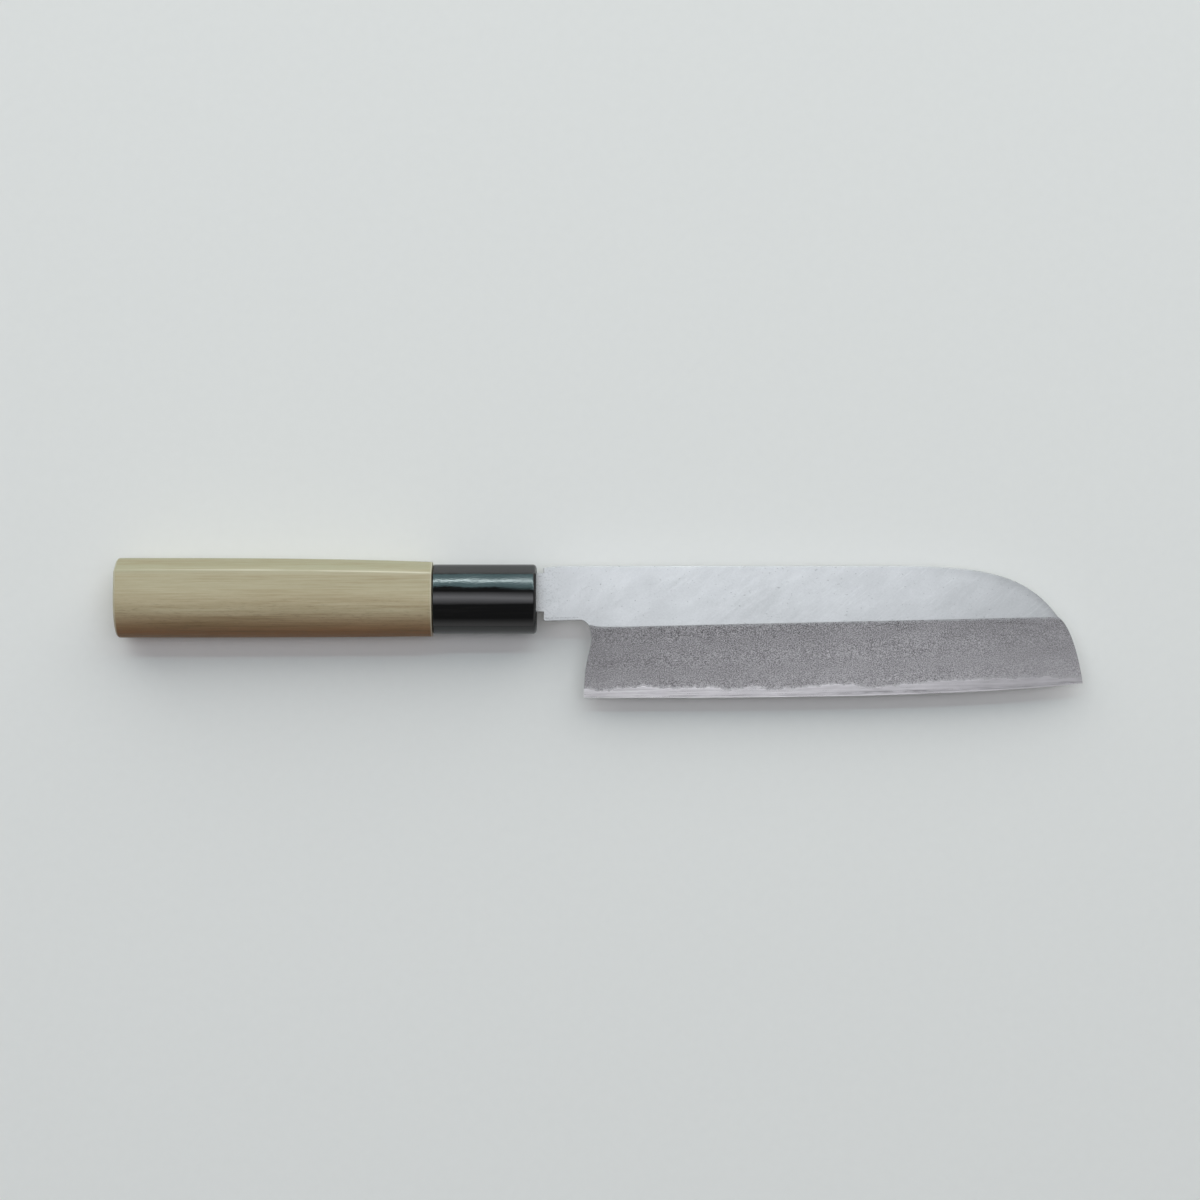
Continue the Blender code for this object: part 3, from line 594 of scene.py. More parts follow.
def wood_finish(colours):
    """Straight-grained ho wood: wavy streaks, crisp fine lines, faint year rings and short dark pores.
    It has painted light: a greener tint above the ridge and a lighter, warmer middle. It also has painted
    shade, which turns it browner towards the edge and draws its grain and pores darker and stronger there.
    Painted highlights lie on the ridge and the rims, and the year rings show darker on the end grain."""
    finish = Finish("ho_wood", Roughness=0.55, IOR=1.45)
    streaks = finish.noise((0.050, 0.0021, 0.0021), turn=0.004, detail=4, roughness=0.6, distortion=0.5)
    lines = finish.noise((0.032, 0.00050, 0.00050), turn=0.005, roughness=0.6, distortion=0.4)
    fibres = finish.noise((0.009, 0.00036, 0.00036), detail=4, roughness=0.65, distortion=0.3)
    clouds = finish.noise((0.035, 0.006, 0.006))
    pores = finish.noise((0.0024, 0.00024, 0.00024), place=(0.3, 0.2, 0.1), detail=1)
    heart = finish.grain_space((0.16, 0.0085, 0.0085), turn=(0, 0.012, 0.010), place=(0, -0.034, -0.041))
    wave = add_node(finish.tree, "TexWave", Vector=heart, Scale=1.0, Distortion=1.6, Detail=2.0,
                    Detail_Scale=0.12)
    wave.wave_type = "RINGS"
    wave.rings_direction = "X"
    rings = Value(finish.tree, wave.outputs["Fac"])
    height, place = finish.measured("above_axis"), finish.along()
    # Painted shade on the handle's side towards the edge: grain and pores drawn stronger there, fainter
    # towards the top
    low = height.spread(-0.0108, -0.0036, 1.0, 0.0)

    tone = streaks.spread(0.40, 0.66, 0.0, 0.24) + rings.spread(0.55, 1.0, 0.0, 0.10)
    tone = tone + lines.spread(0.48, 0.64, 0.0, 0.29) + fibres.spread(0.44, 0.66, 0.0, 0.22)
    tone = (tone + clouds.spread(0.36, 0.66, -0.10, 0.08)) * height.spread(-0.0095, 0.0010, 1.20, 0.62)
    tone = tone + finish.measured("end_grain") * rings.spread(0.45, 1.0, 0.12, 0.50)
    # Painted light: a lighter, warmer middle
    base = finish.mix(height.spread(-0.001, 0.004, 1.0, 0.0), colours.wood, colours.wood_lit_middle)
    # Painted light: a greener tint above the ridge
    base = finish.mix(height.spread(0.0082, 0.0100), base, colours.wood_lit_high)
    # Painted shade: browner colour and darker grain towards the edge
    base = finish.mix(low, base, colours.wood_shaded_low)
    dark = finish.mix(low, colours.wood_dark, times(colours.wood_dark, 0.5))
    base = finish.mix(tone, base, dark)
    pored = pores.spread(0.56, 0.70, 0.0, 0.38) * height.spread(-0.007, 0.002, 1.0, 0.12)
    base = finish.mix(pored, base, colours.wood_pore)

    # Painted highlights: a thin bright line and a broad faint one along the ridge, and pale lines on the rims
    off_ridge = abs(finish.measured("from_ridge"))
    highlight = off_ridge.spread(0.00008, 0.00034, 0.85, 0.0).or_more(off_ridge.spread(0.0003, 0.0017, 0.20, 0.0))
    highlight = highlight * (clouds.spread(0.38, 0.58, 0.45, 1.0) * place.spread(-0.135, -0.085, 0.22, 1.0))
    rims = finish.measured("from_rim").spread(0.00010, 0.00042, 0.45, 0.0)
    base = finish.mix(highlight.or_more(rims), base, colours.wood_highlight)
    return finish.done(base, finish.bump(fibres - pored * 1.4, 0.00004, 0.55), fibres.swing(0.48, 0.64))


def char_finish(colours):
    """Burnt wood: near black, matt and finely cracked."""
    finish = Finish("charred_wood", Roughness=0.9)
    cracks = finish.noise((0.004, 0.0006, 0.0006), detail=5, roughness=0.7)
    base = finish.mix(cracks.spread(0.4, 0.7), colours.char, times(colours.char, 2.2))
    return finish.done(base, finish.bump(cracks, 0.0002, 0.6))


def horn_finish(colours):
    """Polished black horn: faint grey streaks along it, and a gloss that isn't quite even and is softer
    towards the blade."""
    finish = Finish("black_horn", Roughness=0.09, IOR=1.5)
    streaks = finish.noise((0.030, 0.0011, 0.0011), turn=0.03, detail=4, roughness=0.6, distortion=0.6)
    specks = finish.noise((0.0012, 0.0004, 0.0004), detail=2)
    smears = finish.noise((0.009, 0.004, 0.004), roughness=0.6)
    base = finish.mix(streaks.spread(0.52, 0.74), colours.horn, colours.horn_streak)
    gloss = smears.spread(0.38, 0.64, 0.026, 0.050) + specks.spread(0.60, 0.75, 0.0, 0.02)
    gloss = gloss + finish.along().spread(-0.018, -0.004, 0.0, 0.014)
    return finish.done(base, finish.bump(specks, 0.000004, 0.5), gloss)


def iron_flat_finish(colours):
    """Satin iron above the ridge line: soft slanting polishing strokes, most of them on the front third,
    clouds and a few dark specks, which gather on the neck. It darkens towards the nose and on the neck,
    and downwards."""
    finish = Finish("soft_iron", Metallic=1.0, Roughness=0.40)
    slant = math.radians(38)
    strokes = finish.noise((0.0065, 0.00080, 0.01), slant, roughness=0.6, distortion=0.35)
    patches = finish.noise((0.014, 0.009, 0.01), slant, detail=1)
    fine = finish.noise((0.004, 0.00020, 0.01), math.radians(52), detail=2)
    clouds = finish.noise((0.016, 0.008, 0.01), math.radians(30), detail=4)
    grit = finish.noise((0.0007, 0.0006, 0.001), roughness=0.7)
    specks = finish.noise((0.0009, 0.0006, 0.001), place=(0.4, 0.1, 0.2), detail=1)
    above, place = finish.measured("above_ridge"), finish.along()

    stroked = strokes.spread(0.50, 0.70, 0.0, 0.16) * place.spread(0.070, 0.105, 0.25, 1.0)
    stroked = stroked * patches.spread(0.44, 0.60, 0.12, 1.0)
    grey = clouds.spread(0.34, 0.66, 0.94, 1.03) + stroked + fine.spread(0.35, 0.65, -0.015, 0.015)
    grey = grey + grit.spread(0.38, 0.62, -0.03, 0.03) + above.spread(0.0, 0.018, -0.04, 0.06)
    grey = grey * place.spread(0.060, 0.130, 1.0, 0.935) * place.spread(0.128, 0.175, 1.0, 0.80)
    grey = grey * place.spread(0.0, 0.03, 0.88, 1.0)
    nose_rim = finish.measured("below_top").spread(0.0003, 0.0034, 0.14, 0.0) * place.spread(0.120, 0.145)
    base = finish.shaded(colours.iron_flat, grey - nose_rim)

    speck = times(colours.iron_flat, 0.40)
    base = finish.mix(specks.spread(0.69, 0.79, 0.0, 0.6), base, speck)
    base = finish.mix(grit.spread(0.50, 0.64) * place.spread(0.001, 0.014, 0.55, 0.0), base, speck)
    groove = abs(finish.measured("above_neck") - NECK_LINE).spread(0.00008, 0.00026, 0.60, 0.0)
    base = finish.mix(groove * grit.spread(0.42, 0.56), base, speck)
    relief = finish.bump(strokes, 0.000012, 0.4, under=finish.bump(fine, 0.000006, 0.5))
    return finish.done(base, relief, strokes.spread(0.3, 0.7, 0.37, 0.44))


def iron_mist_finish(colours):
    """Misted iron of the bevel: matt and finely mottled with bright specks, and darker wavy lines under
    the ridge line. It is calmer and darker at the heel and high on the nose, turns paler towards the
    steel, clouds over into it within a millimetre, and takes on some of the flat's brightness along the
    ridge line."""
    finish = Finish("iron_mist", Metallic=1.0, Roughness=0.5)
    mottle = finish.noise((0.00034, 0.00028, 0.001), detail=2, roughness=0.6, distortion=0.3)
    specks = finish.noise((0.00040, 0.00032, 0.001), place=(0.2, 0.3, 0.1), detail=1)
    lines = finish.noise((0.010, 0.00050, 0.01), turn=0.02)
    clouds = finish.noise((0.013, 0.006, 0.01), detail=4)
    edge_clouds = finish.noise((0.0022, 0.0011, 0.01))
    above, over_ridge, place = finish.measured("above_line"), finish.measured("above_ridge"), finish.along()

    calm = place.spread(0.016, 0.045, 0.65, 1.0) * place.spread(0.125, 0.165, 1.0, 0.60)
    grain = mottle.swing(-0.54, 0.54) + specks.spread(0.60, 0.74, 0.0, 0.60)
    grey = above.spread(0.0, 0.021, 1.12, 0.87) + grain * calm
    grey = grey + clouds.swing(-0.05, 0.05) + lines.swing(-0.03, 0.03)
    grey = grey - over_ridge.spread(-0.0050, -0.0008) * lines.spread(0.46, 0.62, 0.0, 0.20)
    heel = place.spread(0.018, 0.060, 0.15, 0.0) * above.spread(0.010, 0.017, 1.0, 0.35)
    ends = heel.or_more(place.spread(0.125, 0.160, 0.0, 0.10)) * above.spread(0.002, 0.008)
    base = finish.shaded(colours.iron_mist, grey - ends)

    ragged = above - edge_clouds.swing(-0.0002, 0.0007) - mottle.swing(0.0, 0.0006)
    pale = finish.shaded(colours.steel, place.spread(0.085, 0.160, 0.90, 0.56))
    base = finish.mix(ragged.spread(-0.0006, 0.0005, 0.85, 0.0), base, pale)
    spill = over_ridge + edge_clouds.swing(-0.0003, 0.0004) + mottle.swing(-0.0002, 0.0002)
    base = finish.mix(spill.spread(-0.0009, 0.0002, 0.0, 0.60), base, colours.iron_flat)
    relief = finish.bump(mottle, 0.00003, 0.35, under=finish.bump(lines, 0.00001, 0.35))
    return finish.done(base, relief, mottle.swing(0.44, 0.56))


def steel_finish(name, degrees):
    """Bare steel with fine stone lines in one direction and soft clouds: the finish, its lines and its
    grey value."""
    finish = Finish(name, Metallic=1.0, Roughness=0.3)
    turn = math.radians(degrees)
    lines = finish.noise((0.020, 0.00026, 0.01), turn, roughness=0.6)
    broad = finish.noise((0.030, 0.0011, 0.01), turn, detail=2)
    clouds = finish.noise((0.005, 0.0012, 0.01))
    return finish, lines, lines.swing(0.90, 1.0) + broad.swing(-0.05, 0.05) + clouds.swing(-0.05, 0.05)


def steel_edge_finish(colours):
    """The bare band: a painted highlight, a bright line at the very edge, under a thin broken dark line,
    which on the front half of the blade widens to a few dark streaks."""
    finish, lines, grey = steel_finish("hard_steel", 1.0)
    broken = finish.noise((0.006, 0.00045, 0.01), turn=0.01)
    above, place = finish.measured("above_edge"), finish.along()
    thin = abs(above - THIN_LINE).spread(0.00004, 0.00018, 0.30, 0.0)
    wide = abs(above - WIDE_LINE).spread(0.00020, 0.00060, 0.42, 0.0) * place.spread(0.080, 0.105)
    wide = wide * place.spread(0.125, 0.150, 1.0, 0.35)
    grey = grey - thin.or_more(wide) * broken.spread(0.42, 0.58, 0.15, 1.0)
    # Painted highlight: a bright line along the micro-bevel at the very edge
    grey = grey + above.spread(0.00022, 0.00048, 0.18, 0.0)
    grey = grey * place.spread(0.045, 0.090, 1.26, 1.09) * place.spread(0.085, 0.160, 1.0, 0.60)
    relief = finish.bump(lines, STONE_LINES, 0.4)
    return finish.done(finish.shaded(colours.steel, grey), relief, lines.swing(0.27, 0.38))


def steel_back_finish(colours):
    """The back: grinding lines in the hollow, and a brighter, smoother polished rim round it."""
    finish, lines, grey = steel_finish("ground_steel", 3.0)
    depth = finish.measured("rim")
    base = finish.shaded(colours.steel, grey + depth.spread(0.0, RIM_BORDER, 0.16, -0.14))
    gloss = lines.swing(0.28, 0.42) - depth.spread(0.0, RIM_BORDER, 0.12, 0.0)
    return finish.done(base, finish.bump(lines, STONE_LINES, 0.4), gloss)


def ridged_rings(half_y, half_z, ridge_y, rise, proud, softness, crown):
    """Sections of an oval with one ridge on its front, one ring of (y, z) points for each station.

    The oval is left where straight lines to the ridge touch it. Each line swells by crown times four
    times the share from one end and the share from the other, and the ridge itself is a parabola
    between two points that lie softness away from it.
    """
    half_y, half_z, ridge_y, rise = (np.reshape(v, (-1, 1)) for v in (half_y, half_z, ridge_y, rise))
    ridge_z = half_z * np.sqrt(1 - (ridge_y / half_y) ** 2) + proud
    reach = np.hypot(ridge_y / half_y, ridge_z / half_z)
    aim = np.arctan2(ridge_z / half_z, ridge_y / half_y)
    gap = np.arccos(1 / reach)
    turn = aim + gap + np.linspace(0, 1, ARC_POINTS) * (2 * math.pi - 2 * gap)
    arc = np.stack((rise + half_y * np.cos(turn), half_z * np.sin(turn)), axis=-1)
    peak = np.stack((rise + ridge_y, ridge_z), axis=-1)
    arriving, leaving = arc[:, :1], arc[:, -1:]

    def towards(end):
        """Direction from the ridge to a point."""
        line = end - peak
        return line / np.linalg.norm(line, axis=-1, keepdims=True)

    first = peak + towards(leaving) * softness
    last = peak + towards(arriving) * softness
    t = np.linspace(0, 1, BEND_POINTS)[:, None]
    bend = first * (1 - t) ** 2 + 2 * peak * t * (1 - t) + last * t ** 2
    t = np.linspace(0, 1, FLAT_POINTS + 2)[1:-1, None]
    swell = crown * 4 * t * (1 - t)

    def face(start, end):
        """The swelling line between two points, without these."""
        line = (end - start) / np.linalg.norm(end - start, axis=-1, keepdims=True)
        outward = np.stack((line[..., 1], -line[..., 0]), axis=-1)
        outward *= np.sign(np.sum(outward * peak, axis=-1, keepdims=True))
        return start * (1 - t) + end * t + outward * swell

    return np.concatenate((arc, face(leaving, first), bend, face(last, arriving)), axis=1)


def ring_angles(ring, half_y, half_z):
    """The oval angle that each point of a ring belongs to."""
    return np.arctan2(ring[:, 1] / half_z, ring[:, 0] / half_y)


def square_ring(turn):
    """Points of a square of half side 1 in the given directions, with the nearest one in each corner."""
    ring = np.stack((np.cos(turn), np.sin(turn)), axis=-1)
    ring /= np.abs(ring).max(axis=1, keepdims=True)
    for corner in ((1, 1), (1, -1), (-1, 1), (-1, -1)):
        ring[np.argmin(np.linalg.norm(ring - corner, axis=1))] = corner
    return ring


def at_stations(x, rings):
    """Rings of (y, z) points as points in space, each ring at its own x."""
    x = np.broadcast_to(np.reshape(x, (-1, 1, 1)), rings.shape[:2] + (1,))
    return np.concatenate((x, rings), axis=-1)


def quarter(radius):
    """A quarter round of that radius, from the end face: how far along and how far in each step lies."""
    turn = np.linspace(0, math.pi / 2, ROUND_STEPS + 1)
    return radius * (1 - np.cos(turn)), radius * (1 - np.sin(turn))


def rounded_body(section, start, end, start_round, end_round):
    """Rings of a body from start to end, with a quarter round at both rims.

    The section gives the rings at places along the body, each moved inwards by its depth.
    """
    run, sink = quarter(start_round)
    first = section(start + run, sink)
    run, sink = quarter(end_round)
    last = section(end - run[::-1], sink[::-1])
    x = np.linspace(start + start_round, end - end_round, BODY_STATIONS)
    return np.concatenate((first, section(x, np.zeros(BODY_STATIONS))[1:-1], last))


def oval_rings(x, turn, half_y, half_z, inset_by):
    """Rings of an oval at the given angles, one at each x and moved inwards by its depth."""
    inset_by = np.reshape(inset_by, (-1, 1))
    y, z = (half_y - inset_by) * np.cos(turn), (half_z - inset_by) * np.sin(turn)
    return at_stations(x, np.stack((y, z), axis=-1))


def tang_taper(scene, x):
    """Low side, high side and half thickness of the tang at x: each goes steadily from neck to end."""
    blade, section, tang = scene.usuba_blade, scene.usuba_section, scene.usuba_tang
    share = (blade.machi_gap - x) / (blade.machi_gap + tang.length)
    middle = between(blade.spine_rise - tang.step_above - tang.height / 2, tang.end_rise, share)
    half = between(tang.height, tang.end_height, share) / 2
    thick = between(section.spine_thickness / 2 - tang.relief, tang.end_thickness / 2, share)
    return middle - half, middle + half, thick


def rings_between(first, last, shares):
    """Rings at those shares of the straight way from the first ring to the last."""
    share = np.reshape(shares, (-1, 1, 1))
    return first * (1 - share) + last * share


def tenon_half_sizes(collar):
    """Half height and half thickness of the collar's bore."""
    return collar.half_height - collar.wall_top, collar.half_side - collar.wall_side


def make_handle(scene):
    """The wood handle as one loft of rings: butt, flared body, shoulder, tenon, its end, and the socket.

    The section grows from the collar to the butt with one minus the cube of the share of the way left.
    """
    handle, collar, tang = scene.usuba_handle, scene.usuba_collar, scene.usuba_tang
    butt_x = -handle.length
    shoulder_x = -collar.length - collar.clearance
    joint_y = collar.half_height + handle.step_high
    joint_z = collar.half_side + handle.step_side

    def section(x, inset_by):
        """Ridged oval that grows towards the butt, moved inwards."""
        flare = 1 - ((x - butt_x) / (shoulder_x - butt_x)) ** 3
        half_y = joint_y + handle.flare_high * flare
        ridge_y = handle.ridge_rise * half_y / joint_y - inset_by / 2
        rings = ridged_rings(half_y - inset_by, joint_z + handle.flare_side * flare - inset_by, ridge_y,
                             handle.butt_rise * flare, handle.ridge_proud, handle.ridge_softness,
                             handle.crown)
        return at_stations(x, rings)

    body = rounded_body(section, butt_x, shoulder_x, handle.butt_round, handle.shoulder_round)
    centre = np.array((butt_x, handle.butt_rise, 0.0))
    cap = centre + (body[:1] - centre) * np.reshape(CAP_RINGS, (-1, 1, 1))

    turn = ring_angles(body[-1, :, 1:], joint_y, joint_z)
    bore_y, bore_z = tenon_half_sizes(collar)
    tenon_y, tenon_z = bore_y - collar.clearance, bore_z - collar.clearance
    tenon_end = -handle.tenon_recess
    ease = handle.tenon_ease
    run, sink = quarter(ease)
    tenon_x = np.linspace(shoulder_x, tenon_end - ease, TENON_STATIONS)
    tenon_x = np.concatenate((tenon_x, tenon_end - run[::-1][1:]))
    tenon_in = np.concatenate((np.zeros(TENON_STATIONS), sink[::-1][1:]))
    tenon = oval_rings(tenon_x, turn, tenon_y, tenon_z, tenon_in)
    shoulder_face = rings_between(body[-1:], tenon[:1], END_FACE_RINGS)

    socket_x = np.linspace(tenon_end, -tang.length - tang.clearance, SOCKET_STATIONS)
    low, high, thick = tang_taper(scene, socket_x)
    half = np.stack(((high - low) / 2 + tang.clearance, thick + tang.clearance), axis=-1)[:, None]
    middle_line = np.stack(((high + low) / 2, np.zeros(SOCKET_STATIONS)), axis=-1)[:, None]
    socket = at_stations(socket_x, middle_line + square_ring(turn) * half)
    end_face = rings_between(tenon[-1:], socket[:1], END_FACE_RINGS)
    bottom = np.broadcast_to(socket[-1:].mean(axis=1, keepdims=True), socket[-1:].shape)

    wood = np.concatenate((cap, body, shoulder_face, tenon, end_face, socket[:1]))
    surface = Surface()
    surface.add(wood, wrap_columns=True)
    surface.add(np.concatenate((socket, bottom)), 1, wrap_columns=True)

    def from_ridge(x, y, z):
        """Height above the ridge on the handle's front, or one metre elsewhere."""
        flare = 1 - np.clip((x - butt_x) / (shoulder_x - butt_x), 0, 1) ** 3
        ridge = handle.ridge_rise * (1 + handle.flare_high * flare / joint_y) + handle.butt_rise * flare
        on_front = (z > 0) & (x < shoulder_x) & (x > butt_x + handle.butt_round / 9)
        return np.where(on_front, y - ridge, 1.0)

    def from_rim(x, y, z):
        """Distance along the handle from the line of the painted highlight on the nearer rim."""
        butt_line, shoulder_line = butt_x + handle.butt_round / 3, shoulder_x - handle.shoulder_round / 2
        return np.minimum(np.abs(x - butt_line), np.abs(x - shoulder_line))

    def end_grain(x, y, z):
        """One on the two end faces, and nothing elsewhere."""
        return (x < butt_x + END_GRAIN) | (x > tenon_end - END_GRAIN)

    surface.build(scene, "handle_wood", "handle", "ho_wood", (wood_finish, char_finish), SHARP_ROUND,
                  from_ridge=from_ridge, from_rim=from_rim, above_axis=lambda x, y, z: y,
                  end_grain=end_grain)


def make_collar(scene):
    """The horn collar as one band of rings that closes on itself: outside, front, bore and rear.

    The outside carries two slow waves, each a sine of the place along the collar: one times the cosine
    of six times the oval angle and falling evenly towards the blade, one times a bell curve of the oval
    angle about the front's middle.
    """
    collar, handle = scene.usuba_collar, scene.usuba_handle

    def section(x, inset_by):
        """Ridged oval moved inwards, and outwards again by the waves."""
        rings = ridged_rings(collar.half_height - inset_by, collar.half_side - inset_by,
                             handle.ridge_rise - inset_by / 2, np.zeros(len(x)), handle.ridge_proud,
                             collar.ridge_softness, collar.crown)
        turn = np.arctan2(rings[..., 1] / collar.half_side, rings[..., 0] / collar.half_height)
        place = np.reshape(x, (-1, 1))
        phase = 2 * math.pi * place
        at_front, at_rear = ROUND_WAVES
        swing = at_front - (at_rear - at_front) * place / collar.length
        wave = swing * np.sin(phase / ROUND_WAVELENGTH + 2 * turn + WAVE_START) * np.cos(6 * turn)
        bell = np.exp(-((turn - FRONT_TURN) / FRONT_SPREAD) ** 2)
        wave += FRONT_WAVE * np.sin(phase / FRONT_WAVELENGTH + WAVE_START) * bell
        outward = rings / np.linalg.norm(rings, axis=-1, keepdims=True)
        return at_stations(x, rings + outward * (collar.waviness * wave)[..., None])

    body = rounded_body(section, -collar.length, 0.0, collar.rear_round, collar.front_round)
    turn = ring_angles(body[-1, :, 1:], collar.half_height, collar.half_side)
    bore_y, bore_z = tenon_half_sizes(collar)
    chamfer = collar.rear_round
    bore_x = np.linspace(-chamfer, chamfer - collar.length, TENON_STATIONS)
    bore_x = np.concatenate(((0.0,), bore_x, (-collar.length,)))
    widen = np.concatenate(((chamfer,), np.zeros(TENON_STATIONS), (chamfer,)))
    bore = oval_rings(bore_x, turn, bore_y, bore_z, -widen)
    front_face = rings_between(body[-1:], bore[:1], COLLAR_FACE_RINGS)
    rear_face = rings_between(bore[-1:], body[:1], COLLAR_FACE_RINGS)

    surface = Surface()
    surface.add(np.concatenate((body, front_face, bore, rear_face)), wrap_columns=True, wrap_rows=True)
    surface.build(scene, "collar_horn", "ferrule", "black_horn", (horn_finish,), SHARP_ROUND)


class BladeShape:
    """Everything that both metals of the blade share: outline, heights, and two patches of places.

    The bevel patch lies between the cutting edge and the ridge line, the flat patch above it, with the
    neck and the tang. They share the points of the ridge line. Both end on the blade's outline moved
    inwards by its rounding, and the rim then carries the rounding round them.
    """

    def __init__(self, scene):
        self.scene = scene
        self.outline, self.section = scene.usuba_blade, scene.usuba_section
        blade, section = self.outline, self.section
        self.machi_x = blade.machi_gap
        self.heel_x = self.machi_x + blade.neck_length
        self.tip_x = self.heel_x + blade.length
        self.heel_y = blade.spine_rise - blade.height
        self.tip_y = self.heel_y + blade.edge_sweep
        self.back_z = -section.spine_thickness / 2
        self.steel_x = self.machi_x + section.steel_start
        self.trace_outline()
        self.lay_bevel_patch()
        self.lay_flat_patch()

    def trace_outline(self):
        """Bezier curves of the outline: nose, cheek, edge, heel and throat."""
        blade, tang = self.outline, self.scene.usuba_tang
        heel, tip = (self.heel_x, self.heel_y), (self.tip_x, self.tip_y)
        corner_x = self.tip_x - blade.corner_back
        corner = (corner_x, self.straight_ridge(corner_x))
        spine_end = (self.tip_x - blade.nose_length, blade.spine_rise)
        self.neck_low = blade.spine_rise - tang.step_above - tang.height - blade.neck_step
        neck_y = self.neck_low + blade.neck_rise
        throat = (self.heel_x + blade.heel_hook, neck_y - blade.throat_drop)
        self.neck_corner = (self.heel_x - blade.neck_corner_back, neck_y)
        up, down = math.pi / 2, -math.pi / 2
        self.nose = bezier(spine_end, away(spine_end, blade.nose_crown_run, 0),
                           away(corner, blade.nose_fall_run, math.pi - blade.nose_fall_angle), corner)
        self.cheek = bezier(corner, away(corner, blade.cheek_run, -blade.cheek_angle),
                            away(tip, blade.tip_run, up + blade.tip_rake), tip)
        self.edge = bezier(heel, away(heel, blade.edge_flat_run, 0),
                           away(tip, blade.edge_belly_run, math.pi + blade.edge_belly_angle), tip)
        self.heel = bezier(heel, away(heel, blade.heel_run, up), away(throat, blade.throat_run, down), throat)
        self.throat = bezier(throat, away(throat, blade.throat_round, up),
                             away(self.neck_corner, blade.throat_round, 0), self.neck_corner)
        self.throat_x = throat[0]

    def straight_ridge(self, x):
        """Height of the straight line that the ridge line follows."""
        section = self.section
        return between(self.heel_y + section.bevel_width_heel, self.tip_y + section.bevel_width_tip,
                       (x - self.heel_x) / self.outline.length)

    def ridge_y(self, x):
        """Height of the ridge line: the straight line, with a rise at the throat that fades with the
        exponential of the distance from it."""
        section = self.section
        rise = section.ridge_lift * np.exp(-np.maximum(x - self.throat_x, 0) / section.ridge_lift_run)
        return self.straight_ridge(x) + rise

    def above_neck(self, x, y, z):
        """Height above the neck's underside, or one metre where there is no neck."""
        end_x, end_y = self.neck_corner
        low = np.interp(x, (self.machi_x, end_x), (self.neck_low, end_y))
        return np.where((x > self.machi_x + NECK_LINE_START) & (x < end_x), y - low, 1.0)

    def edge_y(self, x):
        """Height of the cutting edge."""
        return height_on(self.edge, x)

    def top_y(self, x):
        """Height of the spine and the nose."""
        return height_on(np.vstack((self.nose, self.cheek)), x)

    def thickness(self, x):
        """Thickness above the ridge line: it falls steadily from the neck to the tip."""
        return between(self.section.spine_thickness, self.section.nose_thickness,
                       (x - self.machi_x) / (self.tip_x - self.machi_x))

    def front_z(self, x):
        """Height of the flat: the back's, plus the thickness."""
        return self.back_z + self.thickness(x)

    def bevel_z(self, x, y):
        """Height of the bevel: straight from the edge's land to the ridge line, plus a belly of four
        times the share from the edge and the share from the ridge line."""
        section = self.section
        low = self.edge_y(x)
        share = np.clip((y - low) / (self.ridge_y(x) - low), 0, 1)
        rise = (self.thickness(x) - section.edge_land) * share
        return self.back_z + section.edge_land + rise + section.bevel_belly * 4 * share * (1 - share)

    def lamination(self, x):
        """Height of the bare steel above the edge: smooth steps between the measured places, which
        follow a half cosine, with small sine ripples."""
        place, height = np.array(LAMINATION).T
        at = np.clip(x * 1000, place[0], place[-1])
        before = np.clip(np.searchsorted(place, at, side="right") - 1, 0, len(place) - 2)
        share = (at - place[before]) / (place[before + 1] - place[before])
        eased = (1 - np.cos(math.pi * share)) / 2
        result = height[before] * (1 - eased) + height[before + 1] * eased
        inside = np.clip(np.minimum(at - RIPPLES_FROM, RIPPLES_TO - at) / RIPPLES_GROW, 0, 1)
        for wavelength, swing, start in LAMINATION_RIPPLES:
            result = result + inside * swing * np.sin(2 * math.pi * at / wavelength + start)
        return result / 1000

    def weld_z(self, x, y):
        """Height at which the metals meet.

        A plane through the bevel one band above the edge, at heel and tip, and through the steel's
        thickness at the spine. Near the bare line it bends to meet the bevel there, by a difference
        that fades with the exponential of the distance from that line.
        """
        section = self.section
        ends = []
        for end_x, width, low in ((self.heel_x, section.bevel_width_heel, self.heel_y),
                                  (self.tip_x, section.bevel_width_tip, self.tip_y)):
            slope = (self.thickness(end_x) - section.edge_land) / width
            ends.append((end_x, low + section.steel_band, section.edge_land + slope * section.steel_band))
        (x0, y0, h0), (x1, y1, h1) = ends
        across = (section.steel_at_spine - h0) / (self.outline.spine_rise - y0)
        lengthwise = (h1 - h0 - across * (y1 - y0)) / (x1 - x0)

        def plane(px, py):
            """Height of the plane."""
            return self.back_z + h0 + across * (py - y0) + lengthwise * (px - x0)

        line_y = self.edge_y(x) + self.lamination(x)
        bend = self.bevel_z(x, line_y) - plane(x, line_y)
        return plane(x, y) + bend * np.exp(-np.maximum(y - line_y, 0) / WELD_FADE)

    def hollow_z(self, x, y):
        """Height of the back: the hollow's depth falls with the square of the place across the blade
        and the sixth power of the place along it, and is nothing on the rim round it."""
        section = self.section
        start = self.heel_x + section.hollow_heel_rim
        end = self.tip_x - section.hollow_nose_rim
        low = self.edge_y(x) + section.hollow_rim
        high = self.top_y(x) - section.hollow_rim
        along = np.clip((2 * x - start - end) / (end - start), -1, 1)
        across = np.clip((2 * y - low - high) / np.maximum(high - low, LEAST_HOLLOW), -1, 1)
        return self.back_z + section.hollow_depth * (1 - across ** 2) * (1 - along ** 6)

